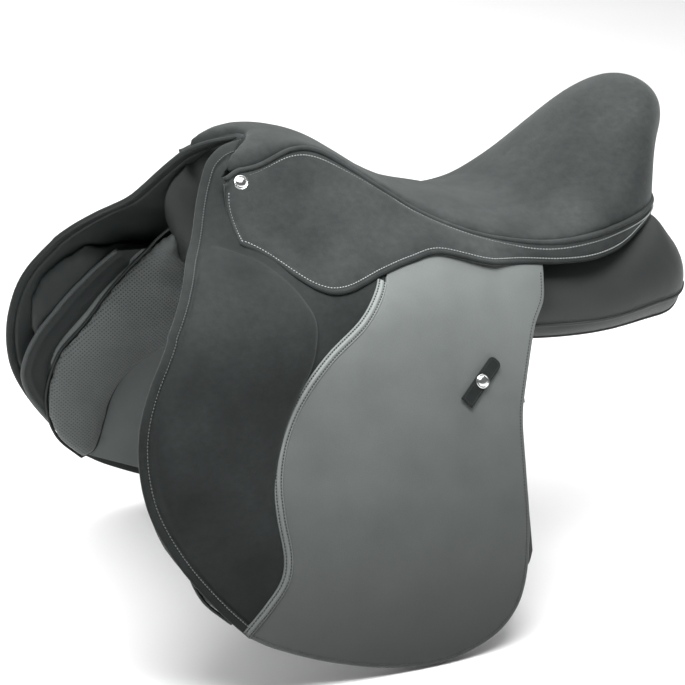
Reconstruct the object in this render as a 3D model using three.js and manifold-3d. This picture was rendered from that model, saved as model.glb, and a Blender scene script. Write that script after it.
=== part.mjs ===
// English saddle, millimetres. +Z is up, the pommel points along -X, the horse's left (near) side is -Y.
// The origin is on the centre plane, level with the panels' bearing faces, under the middle of the seat.
import * as THREE from "three";
import { mergeVertices } from "three/addons/utils/BufferGeometryUtils.js";
import Module from "manifold-3d";

const wasm = await Module();
wasm.setup();

// ---------------------------------------------------------------- driving dimensions

const GAP = 0.4; // clearance kept between pieces that touch on the real saddle
const CELL_X = 60; // cell size of the curved sheets, on one grid for all of them so that layers stay parallel
const CELL_Z = 25;
const REACH = 400; // longer than the saddle's half width, for cutting prisms

const FLAP_THICK = 5;
const FLAP_FOLD_Z = 80; // height of the line that the flap lifts about
const KNEE_BLOCK_DEPTH = 17; // how far the block reaches under the flap's face
const SWEAT_FACE = -20; // sweat flap's face, measured from the flap's face
const SWEAT_THICK = 2.5;
const PAD_FACE = -23;
const PAD_BACK = -42;

const SKIRT_THICK = 3.5;
const SKIRT_LIFT = 12; // skirt's lower edge above the flap's face
const SKIRT_HINGE = [new THREE.Vector3(-229, -66, 168), new THREE.Vector3(-33, -112, 117)];
const SKIRT_REAR = 0.36; // seat station, 0 to 1, where the lifting part of the skirt ends
const SKIRT_TOP_GAP = 7.5; // from the seat's edge to the skirt's top edge, room for the welt

const COVER_THICK = 3.5;
const WELT_RADIUS = 2.8;

const STRAP_WIDTH = 25;
const STRAP_THICK = 3;
const STRAP_CENTRES = [-74, -36, 2];
const STRAP_TOP_Z = 72;
const STRAP_BEND_Z = -40; // the straps are straight above this height
const STRAP_DEPTH = -11.5;
const GUARD = { length: 50, gap: 6.4, wall: 1.4, bottomZ: -30 };
const WEB_WIDTH = 34;
const WEB_THICK = 1.6;
const WEB_CENTRES = [-50, -9];

const KEEPER = { length: 52, width: 14, thick: 2.2, lift: 1.7, studAt: 26 };
const KEEPER_ROOT = [-45, -17]; // x, z of the keeper's hinged end on the flap
const KEEPER_TIP = [-8, 15];
const KEEPER_STUD = { radius: 6.8, height: 3 };
const KEEPER_POST = { radius: 4, height: 1 }; // the fixed half of the snap, on the flap

const STUD_RADIUS = 7;
const STUD_STATION = 0.035; // place of the silver stud at the skirt's front corner
const STUD_DROP = 15;

const ARCH = { front: -195, rear: -165, thick: 8 };
const RAIL = { width: 14, height: 22 };
const CANTLE = { thick: 7, inset: 24 };

const BAR = { front: -160, rear: -86, low: 114, high: 126, plateFace: 65, slot: 8, thick: 6, plate: 3 };
const CATCH_LENGTH = 18;
const PIN_RADIUS = 1.5;
const SCREW = { head: 5, shank: 2.4, headHeight: 2.4 };

// ---------------------------------------------------------------- tables of the shape

// Half width of the side surface (the flap's outer face) against height, at the front and at the rear.
// Between FRONT_X and REAR_X the surface is ruled, so every level line on it is straight.
const FRONT_X = -340;
const REAR_X = 70;
const FRONT_PROFILE = [
  [-260, 266], [-180, 256], [-100, 242], [-50, 226], [0, 212], [35, 204], [65, 190], [90, 168],
  [110, 138], [130, 98], [150, 72], [172, 48], [195, 24], [209, 2], [225, 0],
];
const REAR_PROFILE = [
  [-260, 246], [-200, 236], [-150, 224], [-100, 210], [-60, 198], [-20, 184], [20, 168], [60, 148],
  [100, 122], [140, 92], [180, 50], [196, 24], [209, 4], [225, 0],
];

// Seat stations from pommel to cantle: centre line x, z, then the welt's x, half width, z, then how square
// the section is.
const SEAT = [
  [-184, 210, -228, 56, 188, 3.0],
  [-165, 213, -195, 57, 191, 3.0],
  [-143, 208, -158, 50, 202, 3.0],
  [-122, 200, -131, 48, 198, 2.8],
  [-97, 184, -99, 50, 178, 2.6],
  [-70, 166, -70, 57, 157, 2.3],
  [-36, 150, -36, 73, 134, 1.9],
  [5, 140, 5, 97, 117, 1.65],
  [42, 131, 42, 117, 111, 1.55],
  [78, 136, 78, 132, 110, 1.5],
  [112, 162, 112, 138, 114, 1.5],
  [148, 198, 146, 131, 119, 1.6],
  [185, 225, 178, 114, 123, 1.85],
  [218, 234, 204, 89, 126, 2.15],
  [243, 222, 219, 62, 127, 2.4],
  [254, 196, 228, 36, 128, 2.4],
  [251, 158, 232, 17, 128, 2.4],
  [238, 132, 233, 4, 128, 2.4],
];

// Lower edge of the skirt for the same stations: x, height.
const SKIRT_EDGE = [
  [-227, 133], [-205, 121], [-172, 98], [-145, 93], [-104, 102], [-72, 108], [-40, 111], [5, 98],
  [42, 92], [78, 88], [112, 89], [146, 95], [178, 107], [204, 113], [219, 115], [228, 116], [232, 116],
  [233, 116],
];

const FLAP_FRONT_EDGE = [
  [-326, 72], [-347, 42], [-359, 15], [-365, -15], [-364, -48], [-356, -78], [-337, -114], [-309, -152],
  [-281, -183],
];
const FLAP_BOTTOM = [
  [-281, -183], [-254, -199], [-205, -220], [-146, -237], [-90, -242], [-42, -230], [-14, -209],
  [1, -178], [9, -130], [11, -85], [14, -40], [22, -11], [40, 35], [56, 58], [65, 83],
];
const SEAM = [
  [-110, 82], [-134, 60], [-173, 37], [-203, 11], [-224, -19], [-235, -51], [-237, -83], [-234, -120],
  [-240, -143], [-258, -163], [-281, -183],
];
const ARCH_LINE = [[0, 172], [30, 165], [56, 146], [78, 117], [92, 89], [100, 62]];
const RAIL_PATH = [
  [-167, 57, 147], [-140, 53, 137], [-100, 52, 126], [-60, 58, 115], [-20, 70, 101], [20, 86, 91],
  [70, 100, 89], [120, 106, 94], [165, 92, 101], [195, 58, 105], [208, 0, 107],
];

// Panel stations: x, centre y, centre z, half width, half height.
const PANEL = [
  [-160, 66, 80, 0, 0],
  [-152, 66, 80, 22, 20],
  [-100, 70, 66, 31, 29],
  [-40, 75, 52, 42, 31],
  [20, 80, 42, 50, 34],
  [80, 82, 37, 52, 36],
  [140, 84, 39, 54, 39],
  [195, 82, 49, 48, 45],
  [226, 80, 50, 37, 42],
  [242, 78, 47, 20, 22],
  [250, 78, 45, 0, 0],
];

// ---------------------------------------------------------------- finishes

const SUEDE = { color: 0x33383a, roughness: 0.95, metalness: 0 };
const LEATHER = { color: 0x5f6664, roughness: 0.6, metalness: 0 };
const PANEL_LEATHER = { color: 0x2f3434, roughness: 0.75, metalness: 0 };
const STEEL = { color: 0xb9bcbe, roughness: 0.3, metalness: 1 };
const SILVER = { color: 0xd8dadb, roughness: 0.22, metalness: 1 };
const POLYMER = { color: 0x1b1d1e, roughness: 0.55, metalness: 0 };
const FOAM = { color: 0x6d6a60, roughness: 1, metalness: 0 };
const WEBBING = { color: 0x25282a, roughness: 0.9, metalness: 0 };

// ---------------------------------------------------------------- helpers

const lerp = THREE.MathUtils.lerp;
const clamp = THREE.MathUtils.clamp;

// A smooth function through rising [t, value, ...] rows; column picks the value.
function smoothTable(rows, column = 1) {
  const slope = (i) => {
    const a = rows[Math.max(i - 1, 0)];
    const b = rows[Math.min(i + 1, rows.length - 1)];
    return (b[column] - a[column]) / (b[0] - a[0]);
  };
  return (t) => {
    const at = clamp(t, rows[0][0], rows.at(-1)[0]);
    const above = rows.findIndex((row) => row[0] > at);
    const i = above < 1 ? rows.length - 1 : above;
    const a = rows[i - 1];
    const b = rows[i];
    const h = b[0] - a[0];
    const s = clamp((at - a[0]) / h, 0, 1);
    const s2 = s * s;
    const s3 = s2 * s;
    return (2 * s3 - 3 * s2 + 1) * a[column] + (s3 - 2 * s2 + s) * h * slope(i - 1)
      + (3 * s2 - 2 * s3) * b[column] + (s3 - s2) * h * slope(i);
  };
}

const frontHalfWidth = smoothTable(FRONT_PROFILE);
const rearHalfWidth = smoothTable(REAR_PROFILE);

function halfWidth(x, z) {
  const t = clamp((x - FRONT_X) / (REAR_X - FRONT_X), -0.1, 1.3);
  return lerp(frontHalfWidth(z), rearHalfWidth(z), t);
}

// Point on the left side surface, moved outwards by offset along the surface's normal.
function sidePoint(x, z, offset, width = halfWidth) {
  const w = width(x, z);
  const dx = width(x + 1, z) - width(x - 1, z);
  const dz = width(x, z + 1) - width(x, z - 1);
  const normal = new THREE.Vector3(-dx / 2, -1, -dz / 2).normalize();
  return new THREE.Vector3(x, -w, z).addScaledVector(normal, offset);
}

function toSolid(geometry) {
  const bare = geometry.clone();
  bare.deleteAttribute("normal");
  bare.deleteAttribute("uv");
  const merged = mergeVertices(bare, 1e-4);
  return new wasm.Manifold(new wasm.Mesh({
    numProp: 3,
    vertProperties: merged.attributes.position.array,
    triVerts: new Uint32Array(merged.index.array),
  }));
}

function toGeometry(solid) {
  const mesh = solid.getMesh();
  return new THREE.BufferGeometry()
    .setAttribute("position", new THREE.BufferAttribute(mesh.vertProperties, 3))
    .setIndex(new THREE.BufferAttribute(mesh.triVerts, 1));
}

// Turns a closed geometry's faces outwards if they point inwards.
function facedOut(geometry) {
  const [a, b, c] = [new THREE.Vector3(), new THREE.Vector3(), new THREE.Vector3()];
  const { position } = geometry.attributes;
  const index = geometry.index.array;
  let volume = 0;
  for (let i = 0; i < index.length; i += 3) {
    [a, b, c].forEach((corner, k) => corner.fromBufferAttribute(position, index[i + k]));
    volume += a.dot(b.cross(c));
  }
  if (volume < 0) index.reverse();
  return geometry;
}

// A box whose unit coordinates (each 0 to 1) are bent into place by shape(u, v, h).
function bentBox(cellsU, cellsV, shape) {
  const box = new THREE.BoxGeometry(1, 1, 1, cellsU, cellsV, 1);
  const position = box.attributes.position;
  for (let i = 0; i < position.count; i++) {
    const p = shape(position.getX(i) + 0.5, position.getY(i) + 0.5, position.getZ(i) + 0.5);
    position.setXYZ(i, p.x, p.y, p.z);
  }
  return facedOut(box);
}

// A closed outline in x, z: each run of points is one smooth stretch, with corners where runs meet.
function outline(...runs) {
  const shape = new THREE.Shape();
  shape.moveTo(...runs[0][0]);
  for (const run of runs) {
    const points = run.map(([x, z]) => new THREE.Vector2(x, z));
    if (!points[0].equals(shape.currentPoint)) shape.lineTo(points[0].x, points[0].y);
    if (points.length === 2) shape.lineTo(points[1].x, points[1].y);
    else shape.splineThru(points.slice(1));
  }
  shape.closePath();
  return shape;
}

// The outline swept sideways through the saddle's left half.
function sidePrism(shape) {
  return toSolid(new THREE.ExtrudeGeometry(shape, { depth: REACH, bevelEnabled: false, curveSegments: 1 })
    .rotateX(Math.PI / 2));
}

// A sheet that follows the side surface between two offsets, cut to an outline in x, z.
function sideSheet(shape, outer, inner, width = halfWidth) {
  const box = new THREE.Box2().setFromPoints(shape.getPoints(1)).expandByScalar(6);
  const [x0, x1] = [Math.floor(box.min.x / CELL_X), Math.ceil(box.max.x / CELL_X)];
  const [z0, z1] = [Math.floor(box.min.y / CELL_Z), Math.ceil(box.max.y / CELL_Z)];
  const sheet = bentBox(x1 - x0, z1 - z0, (u, v, h) => {
    const x = lerp(x0, x1, u) * CELL_X;
    const z = lerp(z0, z1, v) * CELL_Z;
    return sidePoint(x, z, lerp(outer, inner, h), width);
  });
  return toSolid(sheet).intersect(sidePrism(shape));
}

function makeMesh(name, geometry, finish) {
  const flat = geometry.index ? geometry.toNonIndexed() : geometry;
  flat.computeVertexNormals();
  const mesh = new THREE.Mesh(flat, new THREE.MeshStandardMaterial(finish));
  mesh.name = name;
  return mesh;
}

// A bar of rectangular section along a path of [x, y, z], its height kept upright.
function barAlong(path, width, height, cells) {
  const curve = new THREE.CatmullRomCurve3(path.map((p) => new THREE.Vector3(...p)));
  return bentBox(cells, 1, (u, v, h) => {
    const tangent = curve.getTangent(u);
    const across = new THREE.Vector3(-tangent.y, tangent.x, 0).normalize();
    return curve.getPoint(u)
      .addScaledVector(across, (v - 0.5) * width)
      .add(new THREE.Vector3(0, 0, (h - 0.5) * height));
  });
}

const block = (x0, x1, y0, y1, z0, z1) => new THREE.BoxGeometry(x1 - x0, y1 - y0, z1 - z0)
  .translate((x0 + x1) / 2, (y0 + y1) / 2, (z0 + z1) / 2);

// ---------------------------------------------------------------- seat

function seatStation(s, column) {
  const at = clamp(s, 0, 1) * (SEAT.length - 1);
  return smoothTable(SEAT.map((row, i) => [i, row[column]]))(at);
}

// How late, from the centre line outwards, each cross line of the seat bends to the welt.
const FRONT_BLUNTNESS = 1.6;
const REAR_BLUNTNESS = 3.8;

// Point of the seat at s (pommel to cantle) and t (-1 left welt, 0 centre, 1 right welt), at a depth under
// the surface.
function seatPoint(s, t, depth, edgeInset = depth) {
  const columns = [0, 1, 2, 3, 4, 5];
  const [centreX, centreZ, weltX, weltW, weltZ, power] = columns.map((c) => seatStation(s, c));
  const across = Math.abs(t);
  const rise = Math.pow(Math.max(1 - Math.pow(across, power), 0), 1 / power);
  const behind = clamp((s - 0.78) / 0.12, 0, 1);
  const bluntness = lerp(FRONT_BLUNTNESS, REAR_BLUNTNESS, THREE.MathUtils.smoothstep(s, 0.7, 0.86));
  const x = lerp(centreX, weltX, Math.pow(across, bluntness)) - depth * behind;
  const y = Math.sign(t) * Math.max(weltW - edgeInset, 1.5) * across;
  const z = weltZ + (centreZ - depth - weltZ) * rise;
  return new THREE.Vector3(x, y, z);
}

function seatCover() {
  return bentBox(24, 8, (u, v, h) => seatPoint(u, v * 2 - 1, h * COVER_THICK));
}

const FOAM_SLACK = 2.5;
const FOAM_INSET = 11;
const FOAM_RIM = 6;
const FOAM_FRONT = 0.02;
const FOAM_REAR = 0.97;

function seatFoam() {
  return bentBox(24, 8, (u, v, h) => {
    const s = clamp(u, FOAM_FRONT, FOAM_REAR);
    const top = seatPoint(s, v * 2 - 1, COVER_THICK + FOAM_SLACK, FOAM_INSET);
    top.z -= FOAM_SLACK * 0.6;
    if (h < 0.5) return top;
    const weltX = seatStation(s, 2) - FOAM_INSET * clamp((s - 0.78) / 0.12, 0, 1);
    const x = s < 0.5 ? top.x : Math.min(top.x, weltX);
    return new THREE.Vector3(x, top.y, seatStation(s, 4) - FOAM_RIM);
  });
}

// Left welt line and skirt edge at s, as points on the left side.
const weltPoint = (s) => new THREE.Vector3(seatStation(s, 2), -seatStation(s, 3), seatStation(s, 4));

function skirtEdgePoint(s) {
  const at = clamp(s, 0, 1) * (SKIRT_EDGE.length - 1);
  const x = smoothTable(SKIRT_EDGE.map((row, i) => [i, row[0]]))(at);
  const z = smoothTable(SKIRT_EDGE.map((row, i) => [i, row[1]]))(at);
  const onFlap = sidePoint(x, z, SKIRT_LIFT);
  const underSeat = seatStation(s, 3) + 2;
  const blend = clamp((s - 0.42) / 0.16, 0, 1);
  return new THREE.Vector3(x, lerp(onFlap.y, -underSeat, blend), z);
}

// The welt runs between the seat cover and the skirt.
function weltCentre(s) {
  const top = weltPoint(s);
  const down = skirtEdgePoint(s).sub(top).normalize();
  return top.addScaledVector(down, WELT_RADIUS + 0.6);
}

// Direction through the skirt's leather towards the tree, the same for its fixed and lifting parts.
function skirtInwards(s) {
  const along = skirtEdgePoint(Math.min(s + 0.02, 1)).sub(skirtEdgePoint(Math.max(s - 0.02, 0)));
  return along.cross(skirtEdgePoint(s).sub(weltPoint(s))).normalize();
}

// A sheet between two edge curves at the given stations, thickened inwards.
function ruledSheet(stations, topEdge, lowEdge, cellsV) {
  return bentBox(stations.length - 1, cellsV, (u, v, h) => {
    const s = stations[Math.round(u * (stations.length - 1))];
    return topEdge(s).lerp(lowEdge(s), v).addScaledVector(skirtInwards(s), h * SKIRT_THICK);
  });
}

// Evenly spaced values from a to b, both included.
const spread = (a, b, cells) => Array.from({ length: cells + 1 }, (_, i) => lerp(a, b, i / cells));

// Point on the way from a to b, a given distance from a.
const stepTowards = (a, b, distance) => a.clone().lerp(b, distance / a.distanceTo(b));

// The skirt's fold line at station s, in step with the skirt's lower edge along X.
function hingePoint(s) {
  const start = skirtEdgePoint(0).x;
  const t = (skirtEdgePoint(s).x - start) / (skirtEdgePoint(SKIRT_REAR).x - start);
  return SKIRT_HINGE[0].clone().lerp(SKIRT_HINGE[1], t);
}

const SKIRT_SPLIT = 0.012; // width of the gap at the lifting part's rear end, in stations
const SKIRT_FRONT_STATIONS = spread(0, SKIRT_REAR - SKIRT_SPLIT, 14);
const SKIRT_REAR_STATIONS = spread(SKIRT_REAR, 0.985, 18);

// The fixed band below the welt. Behind the fold it takes in the whole height of the skirt.
function skirtBand() {
  const top = (s) => stepTowards(weltPoint(s), skirtEdgePoint(s), SKIRT_TOP_GAP);
  const low = (s) => (s < SKIRT_REAR ? hingePoint(s) : skirtEdgePoint(s));
  return ruledSheet([...SKIRT_FRONT_STATIONS, ...SKIRT_REAR_STATIONS], top, low, 1);
}

function liftingSkirt() {
  const top = (s) => stepTowards(hingePoint(s), skirtEdgePoint(s), GAP * 2);
  const stations = SKIRT_FRONT_STATIONS.slice(0, -1);
  return ruledSheet(stations, top, skirtEdgePoint, 2);
}

function welt() {
  const leftHalf = spread(0, 1, 24).map(weltCentre);
  const rightHalf = leftHalf.slice(0, -1).reverse().map((p) => new THREE.Vector3(p.x, -p.y, p.z));
  const path = new THREE.CatmullRomCurve3([...leftHalf, ...rightHalf]);
  const section = new THREE.Shape(spread(0, 5, 5).map((i) => new THREE.Vector2(
    WELT_RADIUS * Math.cos(i * Math.PI / 3),
    WELT_RADIUS * Math.sin(i * Math.PI / 3),
  )));
  return new THREE.ExtrudeGeometry(section, { extrudePath: path, steps: 52, curveSegments: 1 });
}

// ---------------------------------------------------------------- tree, gullet plate and webs

const archHalf = ARCH_LINE.map(([y, z]) => new THREE.Vector2(y, z));
const archCurve = new THREE.SplineCurve([
  ...archHalf.slice(1).reverse().map((p) => new THREE.Vector2(-p.x, p.y)), ...archHalf,
]);

// Point y, z of the arch at t, moved outwards by offset.
function archPoint(t, offset) {
  const tangent = archCurve.getTangent(t);
  return archCurve.getPoint(t).add(new THREE.Vector2(-tangent.y, tangent.x).multiplyScalar(offset));
}

// The inverted U of the head, as a band between two offsets outside its centre line.
function archBand(outer, inner, x0, x1, lowestZ) {
  const stations = spread(0, 1, 22).filter((t) => archCurve.getPoint(t).y >= lowestZ);
  const outerRow = stations.map((t) => archPoint(t, outer));
  const innerRow = stations.map((t) => archPoint(t, inner)).reverse();
  const section = new THREE.Shape([...outerRow, ...innerRow]);
  return new THREE.ExtrudeGeometry(section, { depth: x1 - x0, bevelEnabled: false })
    .rotateX(Math.PI / 2)
    .rotateZ(Math.PI / 2)
    .translate(x0, 0, 0);
}

const SCREW_HEIGHTS = [104, 76];
const PLATE_THICK = 3;
const PLATE_LOW_Z = 66;
const LINING = { near: 8, far: 10.5, front: -207, bottomZ: 112 }; // distances under the arch's centre line
const PLATE_CLEARANCE = 0.6; // round the cantle plate, where the foam is cut away for it

// Turns a lathe so that its +Y points outwards through the arch at height z on one side.
function throughArch(geometry, z, side) {
  const t = spread(0.5, 1, 200).find((at) => archCurve.getPoint(at).y < z);
  const onLine = archPoint(t, 0);
  const out = archPoint(t, 1).sub(onLine);
  const outwards = new THREE.Vector3(0, side * out.x, out.y);
  const turn = new THREE.Quaternion().setFromUnitVectors(new THREE.Vector3(0, 1, 0), outwards);
  const middle = (ARCH.front + ARCH.rear) / 2;
  return geometry.applyQuaternion(turn).translate(middle, side * onLine.x, onLine.y);
}

function screwHole({ z, side }) {
  const radius = SCREW.shank + 0.4;
  return toSolid(throughArch(new THREE.CylinderGeometry(radius, radius, 60, 10), z, side));
}

function screw({ z, side }) {
  const back = ARCH.thick + 1;
  const face = -PLATE_THICK - GAP * 2;
  const profile = [
    [0, face - SCREW.headHeight], [SCREW.head * 0.6, face - SCREW.headHeight], [SCREW.head, face - 1],
    [SCREW.head, face], [SCREW.shank, face], [SCREW.shank, back], [0, back],
  ].map(([r, y]) => new THREE.Vector2(r, y));
  return throughArch(new THREE.LatheGeometry(profile, 10), z, side);
}

// An upright curved plate that carries the back of the seat.
function cantlePlate(grow) {
  return bentBox(12, 3, (u, v, h) => {
    const s = lerp(0.62 - grow * 0.01, 0.985, 1 - Math.abs(u * 2 - 1));
    const side = Math.sign(u * 2 - 1) || 1;
    const rim = weltPoint(s);
    const inset = CANTLE.inset + (h - 0.5) * (CANTLE.thick + grow * 2);
    const narrowing = Math.max(1 - inset / Math.hypot(rim.y, 40), 0);
    const x = rim.x - inset * clamp((s - 0.6) / 0.3, 0, 1);
    const topZ = lerp(rim.z + 8, 196, clamp((s - 0.62) / 0.3, 0, 1));
    return new THREE.Vector3(x, side * -rim.y * narrowing, lerp(98 - grow * 8, topZ + grow, v));
  });
}

function treeSolid(screwHoles) {
  const fullPath = [...RAIL_PATH, ...RAIL_PATH.slice(0, -1).reverse().map(([x, y, z]) => [x, -y, z])];
  let tree = toSolid(barAlong(fullPath, RAIL.width, RAIL.height, 44))
    .add(toSolid(archBand(ARCH.thick, 0, ARCH.front, ARCH.rear, 0)));
  for (const hole of screwHoles) tree = tree.subtract(hole);
  return tree;
}

// Height of the rails' top at x, for the webs that cross them.
const railTop = smoothTable(RAIL_PATH.map(([x, , z]) => [x, z + RAIL.height / 2]));
const railSide = smoothTable(RAIL_PATH.map(([x, y]) => [x, y + RAIL.width / 2]));

const WEB_END_Z = 78;

function girthWeb(centreX) {
  return bentBox(2, 24, (u, v, h) => {
    const x = centreX + (u - 0.5) * WEB_WIDTH;
    const side = v < 0.5 ? -1 : 1;
    const fromCentre = Math.abs(v * 2 - 1);
    const end = sidePoint(x, WEB_END_Z, STRAP_DEPTH);
    const edge = new THREE.Vector2(railSide(x) + 3, railTop(x) + 1);
    const foot = new THREE.Vector2(-end.y, WEB_END_Z);
    const route = new THREE.SplineCurve([
      new THREE.Vector2(0, railTop(x) + 1.5), new THREE.Vector2(edge.x * 0.6, railTop(x) + 1.5), edge,
      new THREE.Vector2(lerp(edge.x, foot.x, 0.5), lerp(edge.y, foot.y, 0.5) + 2), foot,
    ]);
    const p = route.getPoint(fromCentre);
    const tangent = route.getTangent(fromCentre);
    p.add(new THREE.Vector2(-tangent.y, tangent.x).multiplyScalar(h * WEB_THICK));
    return new THREE.Vector3(x, side * p.x, p.y);
  });
}

// ---------------------------------------------------------------- stirrup bar

const BAR_MID_Z = (BAR.low + BAR.high) / 2;
const BAR_INNER = BAR.plateFace + BAR.plate + BAR.slot;
const BAR_OUTER = BAR_INNER + BAR.thick;
const PIN_X = BAR.rear - 5;
const PLATE_LENGTH = 58;

function stirrupBar() {
  const plateRear = BAR.front + PLATE_LENGTH;
  const back = -BAR.plateFace;
  const halfway = -BAR_INNER - BAR.thick / 2;
  const plate = block(BAR.front, plateRear, back - BAR.plate, back, BAR.low - 5, BAR.high + 5);
  const neck = block(BAR.front, BAR.front + 12, -BAR_OUTER, back - 1, BAR.low, BAR.high);
  const arm = block(BAR.front, BAR.rear, -BAR_OUTER, -BAR_INNER, BAR.low, BAR.high);
  const halving = block(PIN_X - 7, BAR.rear + 1, halfway, -BAR_INNER + 1, BAR.low - 1, BAR.high + 1);
  let bar = toSolid(plate).add(toSolid(neck)).add(toSolid(arm));
  bar = bar.subtract(toSolid(halving)).subtract(pinBore());
  for (const x of RIVET_X) bar = bar.subtract(rivetHole(x));
  return bar;
}

// The catch's pin runs across the bar, along Y.
function pinBore() {
  return toSolid(new THREE.CylinderGeometry(PIN_RADIUS + 0.1, PIN_RADIUS + 0.1, 40, 12)
    .translate(PIN_X, -BAR_INNER, BAR_MID_Z));
}

const RIVET_X = [BAR.front + 22, BAR.front + 48];
const RIVET_RADIUS = 2.6;

function rivetHole(x) {
  return toSolid(new THREE.CylinderGeometry(RIVET_RADIUS + 0.2, RIVET_RADIUS + 0.2, 10, 10)
    .translate(x, -BAR.plateFace - BAR.plate / 2, BAR_MID_Z));
}

function barRivet(x) {
  const head = 1.2;
  const profile = [
    [0, -1], [RIVET_RADIUS, -1], [RIVET_RADIUS, BAR.plate], [RIVET_RADIUS * 1.7, BAR.plate + GAP],
    [RIVET_RADIUS * 1.4, BAR.plate + GAP + head], [0, BAR.plate + GAP + head],
  ].map(([r, y]) => new THREE.Vector2(r, y));
  return new THREE.LatheGeometry(profile, 10).rotateX(Math.PI).translate(x, -BAR.plateFace, BAR_MID_Z);
}

function catchPin() {
  const length = BAR.thick + 1;
  return new THREE.CylinderGeometry(PIN_RADIUS, PIN_RADIUS, length, 12)
    .translate(PIN_X, -(BAR_INNER + BAR_OUTER) / 2, BAR_MID_Z);
}

function catchPlate() {
  const radius = (BAR.high - BAR.low) / 2;
  const lug = new THREE.CylinderGeometry(radius, radius, BAR.thick / 2 - GAP, 16)
    .translate(PIN_X, -BAR_INNER - BAR.thick / 4, BAR_MID_Z);
  const face = -BAR_INNER - BAR.thick / 2 + GAP / 2;
  const tongue = block(PIN_X, PIN_X + CATCH_LENGTH, face, -BAR_INNER - GAP / 2, BAR.low, BAR.high - 1);
  return toSolid(lug).add(toSolid(tongue)).subtract(pinBore());
}

// ---------------------------------------------------------------- girth straps and buckle guard

// The straps lie in one plane down to STRAP_BEND_Z and follow the side surface below it.
const planeX = STRAP_CENTRES[1];
const strapFace = (x, z) => -sidePoint(x, z, STRAP_DEPTH).y;
const planeSlopeX = (strapFace(planeX + 50, 20) - strapFace(planeX - 50, 20)) / 100;
const planeSlopeZ = (strapFace(planeX, STRAP_TOP_Z) - strapFace(planeX, STRAP_BEND_Z))
  / (STRAP_TOP_Z - STRAP_BEND_Z);

const planeWidth = (x, z) => strapFace(planeX, STRAP_TOP_Z)
  + planeSlopeX * (x - planeX) + planeSlopeZ * (z - STRAP_TOP_Z);

function strapWidth(x, z) {
  if (z > STRAP_BEND_Z) return planeWidth(x, z);
  return planeWidth(x, STRAP_BEND_Z) + strapFace(planeX, z) - strapFace(planeX, STRAP_BEND_Z);
}

const STRAP_END_Z = [-188, -190, -176];

function girthStrap(index) {
  const x = STRAP_CENTRES[index];
  const half = STRAP_WIDTH / 2;
  const end = STRAP_END_Z[index];
  const shape = outline(
    [[x - half, end + 14], [x - half, STRAP_TOP_Z]],
    [[x - half, STRAP_TOP_Z], [x + half, STRAP_TOP_Z]],
    [[x + half, STRAP_TOP_Z], [x + half, end + 14]],
    [
      [x + half, end + 14], [x + half * 0.6, end + 3], [x, end], [x - half * 0.6, end + 3],
      [x - half, end + 14],
    ],
  );
  return sideSheet(shape, STRAP_THICK / 2, -STRAP_THICK / 2, strapWidth);
}

// A flat leather sleeve round the three straps.
function buckleGuard() {
  const [first, , last] = STRAP_CENTRES;
  const x0 = first - STRAP_WIDTH / 2 - 4;
  const x1 = last + STRAP_WIDTH / 2 + 4;
  const half = GUARD.gap / 2;
  const z1 = GUARD.bottomZ + GUARD.length;
  const box = (grow, endGrow) => {
    const shape = outline([[x0 - grow, GUARD.bottomZ - endGrow], [x1 + grow, GUARD.bottomZ - endGrow]],
      [[x1 + grow, GUARD.bottomZ - endGrow], [x1 + grow, z1 + endGrow]],
      [[x1 + grow, z1 + endGrow], [x0 - grow, z1 + endGrow]]);
    return sideSheet(shape, half + grow, -half - grow, planeWidth);
  };
  return box(GUARD.wall, 0).subtract(box(0, 5));
}

// ---------------------------------------------------------------- keeper on the flap

// A frame on the flap: +X along the keeper from its hinged end to its tip, +Z away from the flap.
function keeperFrame() {
  const root = sidePoint(...KEEPER_ROOT, 0);
  const tip = sidePoint(...KEEPER_TIP, 0);
  const middle = [(KEEPER_ROOT[0] + KEEPER_TIP[0]) / 2, (KEEPER_ROOT[1] + KEEPER_TIP[1]) / 2];
  const centre = sidePoint(...middle, 0);
  const out = sidePoint(...middle, 1).sub(centre).normalize();
  const along = tip.sub(root);
  along.addScaledVector(out, -along.dot(out)).normalize();
  const frame = new THREE.Group();
  frame.position.copy(centre).addScaledVector(along, -KEEPER.length / 2);
  frame.quaternion.setFromRotationMatrix(new THREE.Matrix4().makeBasis(along, out.clone().cross(along), out));
  return frame;
}

function keeperStrap() {
  const half = KEEPER.width / 2;
  const shape = new THREE.Shape();
  shape.moveTo(0, -half);
  shape.lineTo(KEEPER.length - 5, -half);
  shape.absarc(KEEPER.length - 5, -half + 5, 5, -Math.PI / 2, 0);
  shape.absarc(KEEPER.length - 5, half - 5, 5, 0, Math.PI / 2);
  shape.lineTo(0, half);
  return new THREE.ExtrudeGeometry(shape, { depth: KEEPER.thick, bevelEnabled: false, curveSegments: 4 })
    .translate(0, 0, KEEPER.lift);
}

// A low round stud with a domed face, its flat back at height base.
function dome(radius, height, base) {
  const profile = [[0, 0], [radius, 0], [radius, height * 0.35], [radius * 0.7, height * 0.85], [0, height]]
    .map(([r, y]) => new THREE.Vector2(r, y));
  return new THREE.LatheGeometry(profile, 12).rotateX(Math.PI / 2).translate(0, 0, base);
}

function placedOnSkirt(mesh) {
  const top = weltPoint(STUD_STATION);
  const low = hingePoint(STUD_STATION);
  const along = weltPoint(STUD_STATION * 2).sub(weltPoint(0));
  const out = low.clone().sub(top).cross(along).normalize();
  const group = new THREE.Group();
  group.position.copy(stepTowards(top, low, STUD_DROP));
  group.quaternion.setFromUnitVectors(new THREE.Vector3(0, 0, 1), out);
  group.add(mesh);
  return group;
}

// ---------------------------------------------------------------- flap layers

const FOLD_TOP = FLAP_FOLD_Z + GAP / 2;
const FOLD_LOW = FLAP_FOLD_Z - GAP / 2;
const FRONT_FOLD_X = -321;
const REAR_FOLD_X = 63;
const SEAM_FOLD_X = -109;

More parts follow.
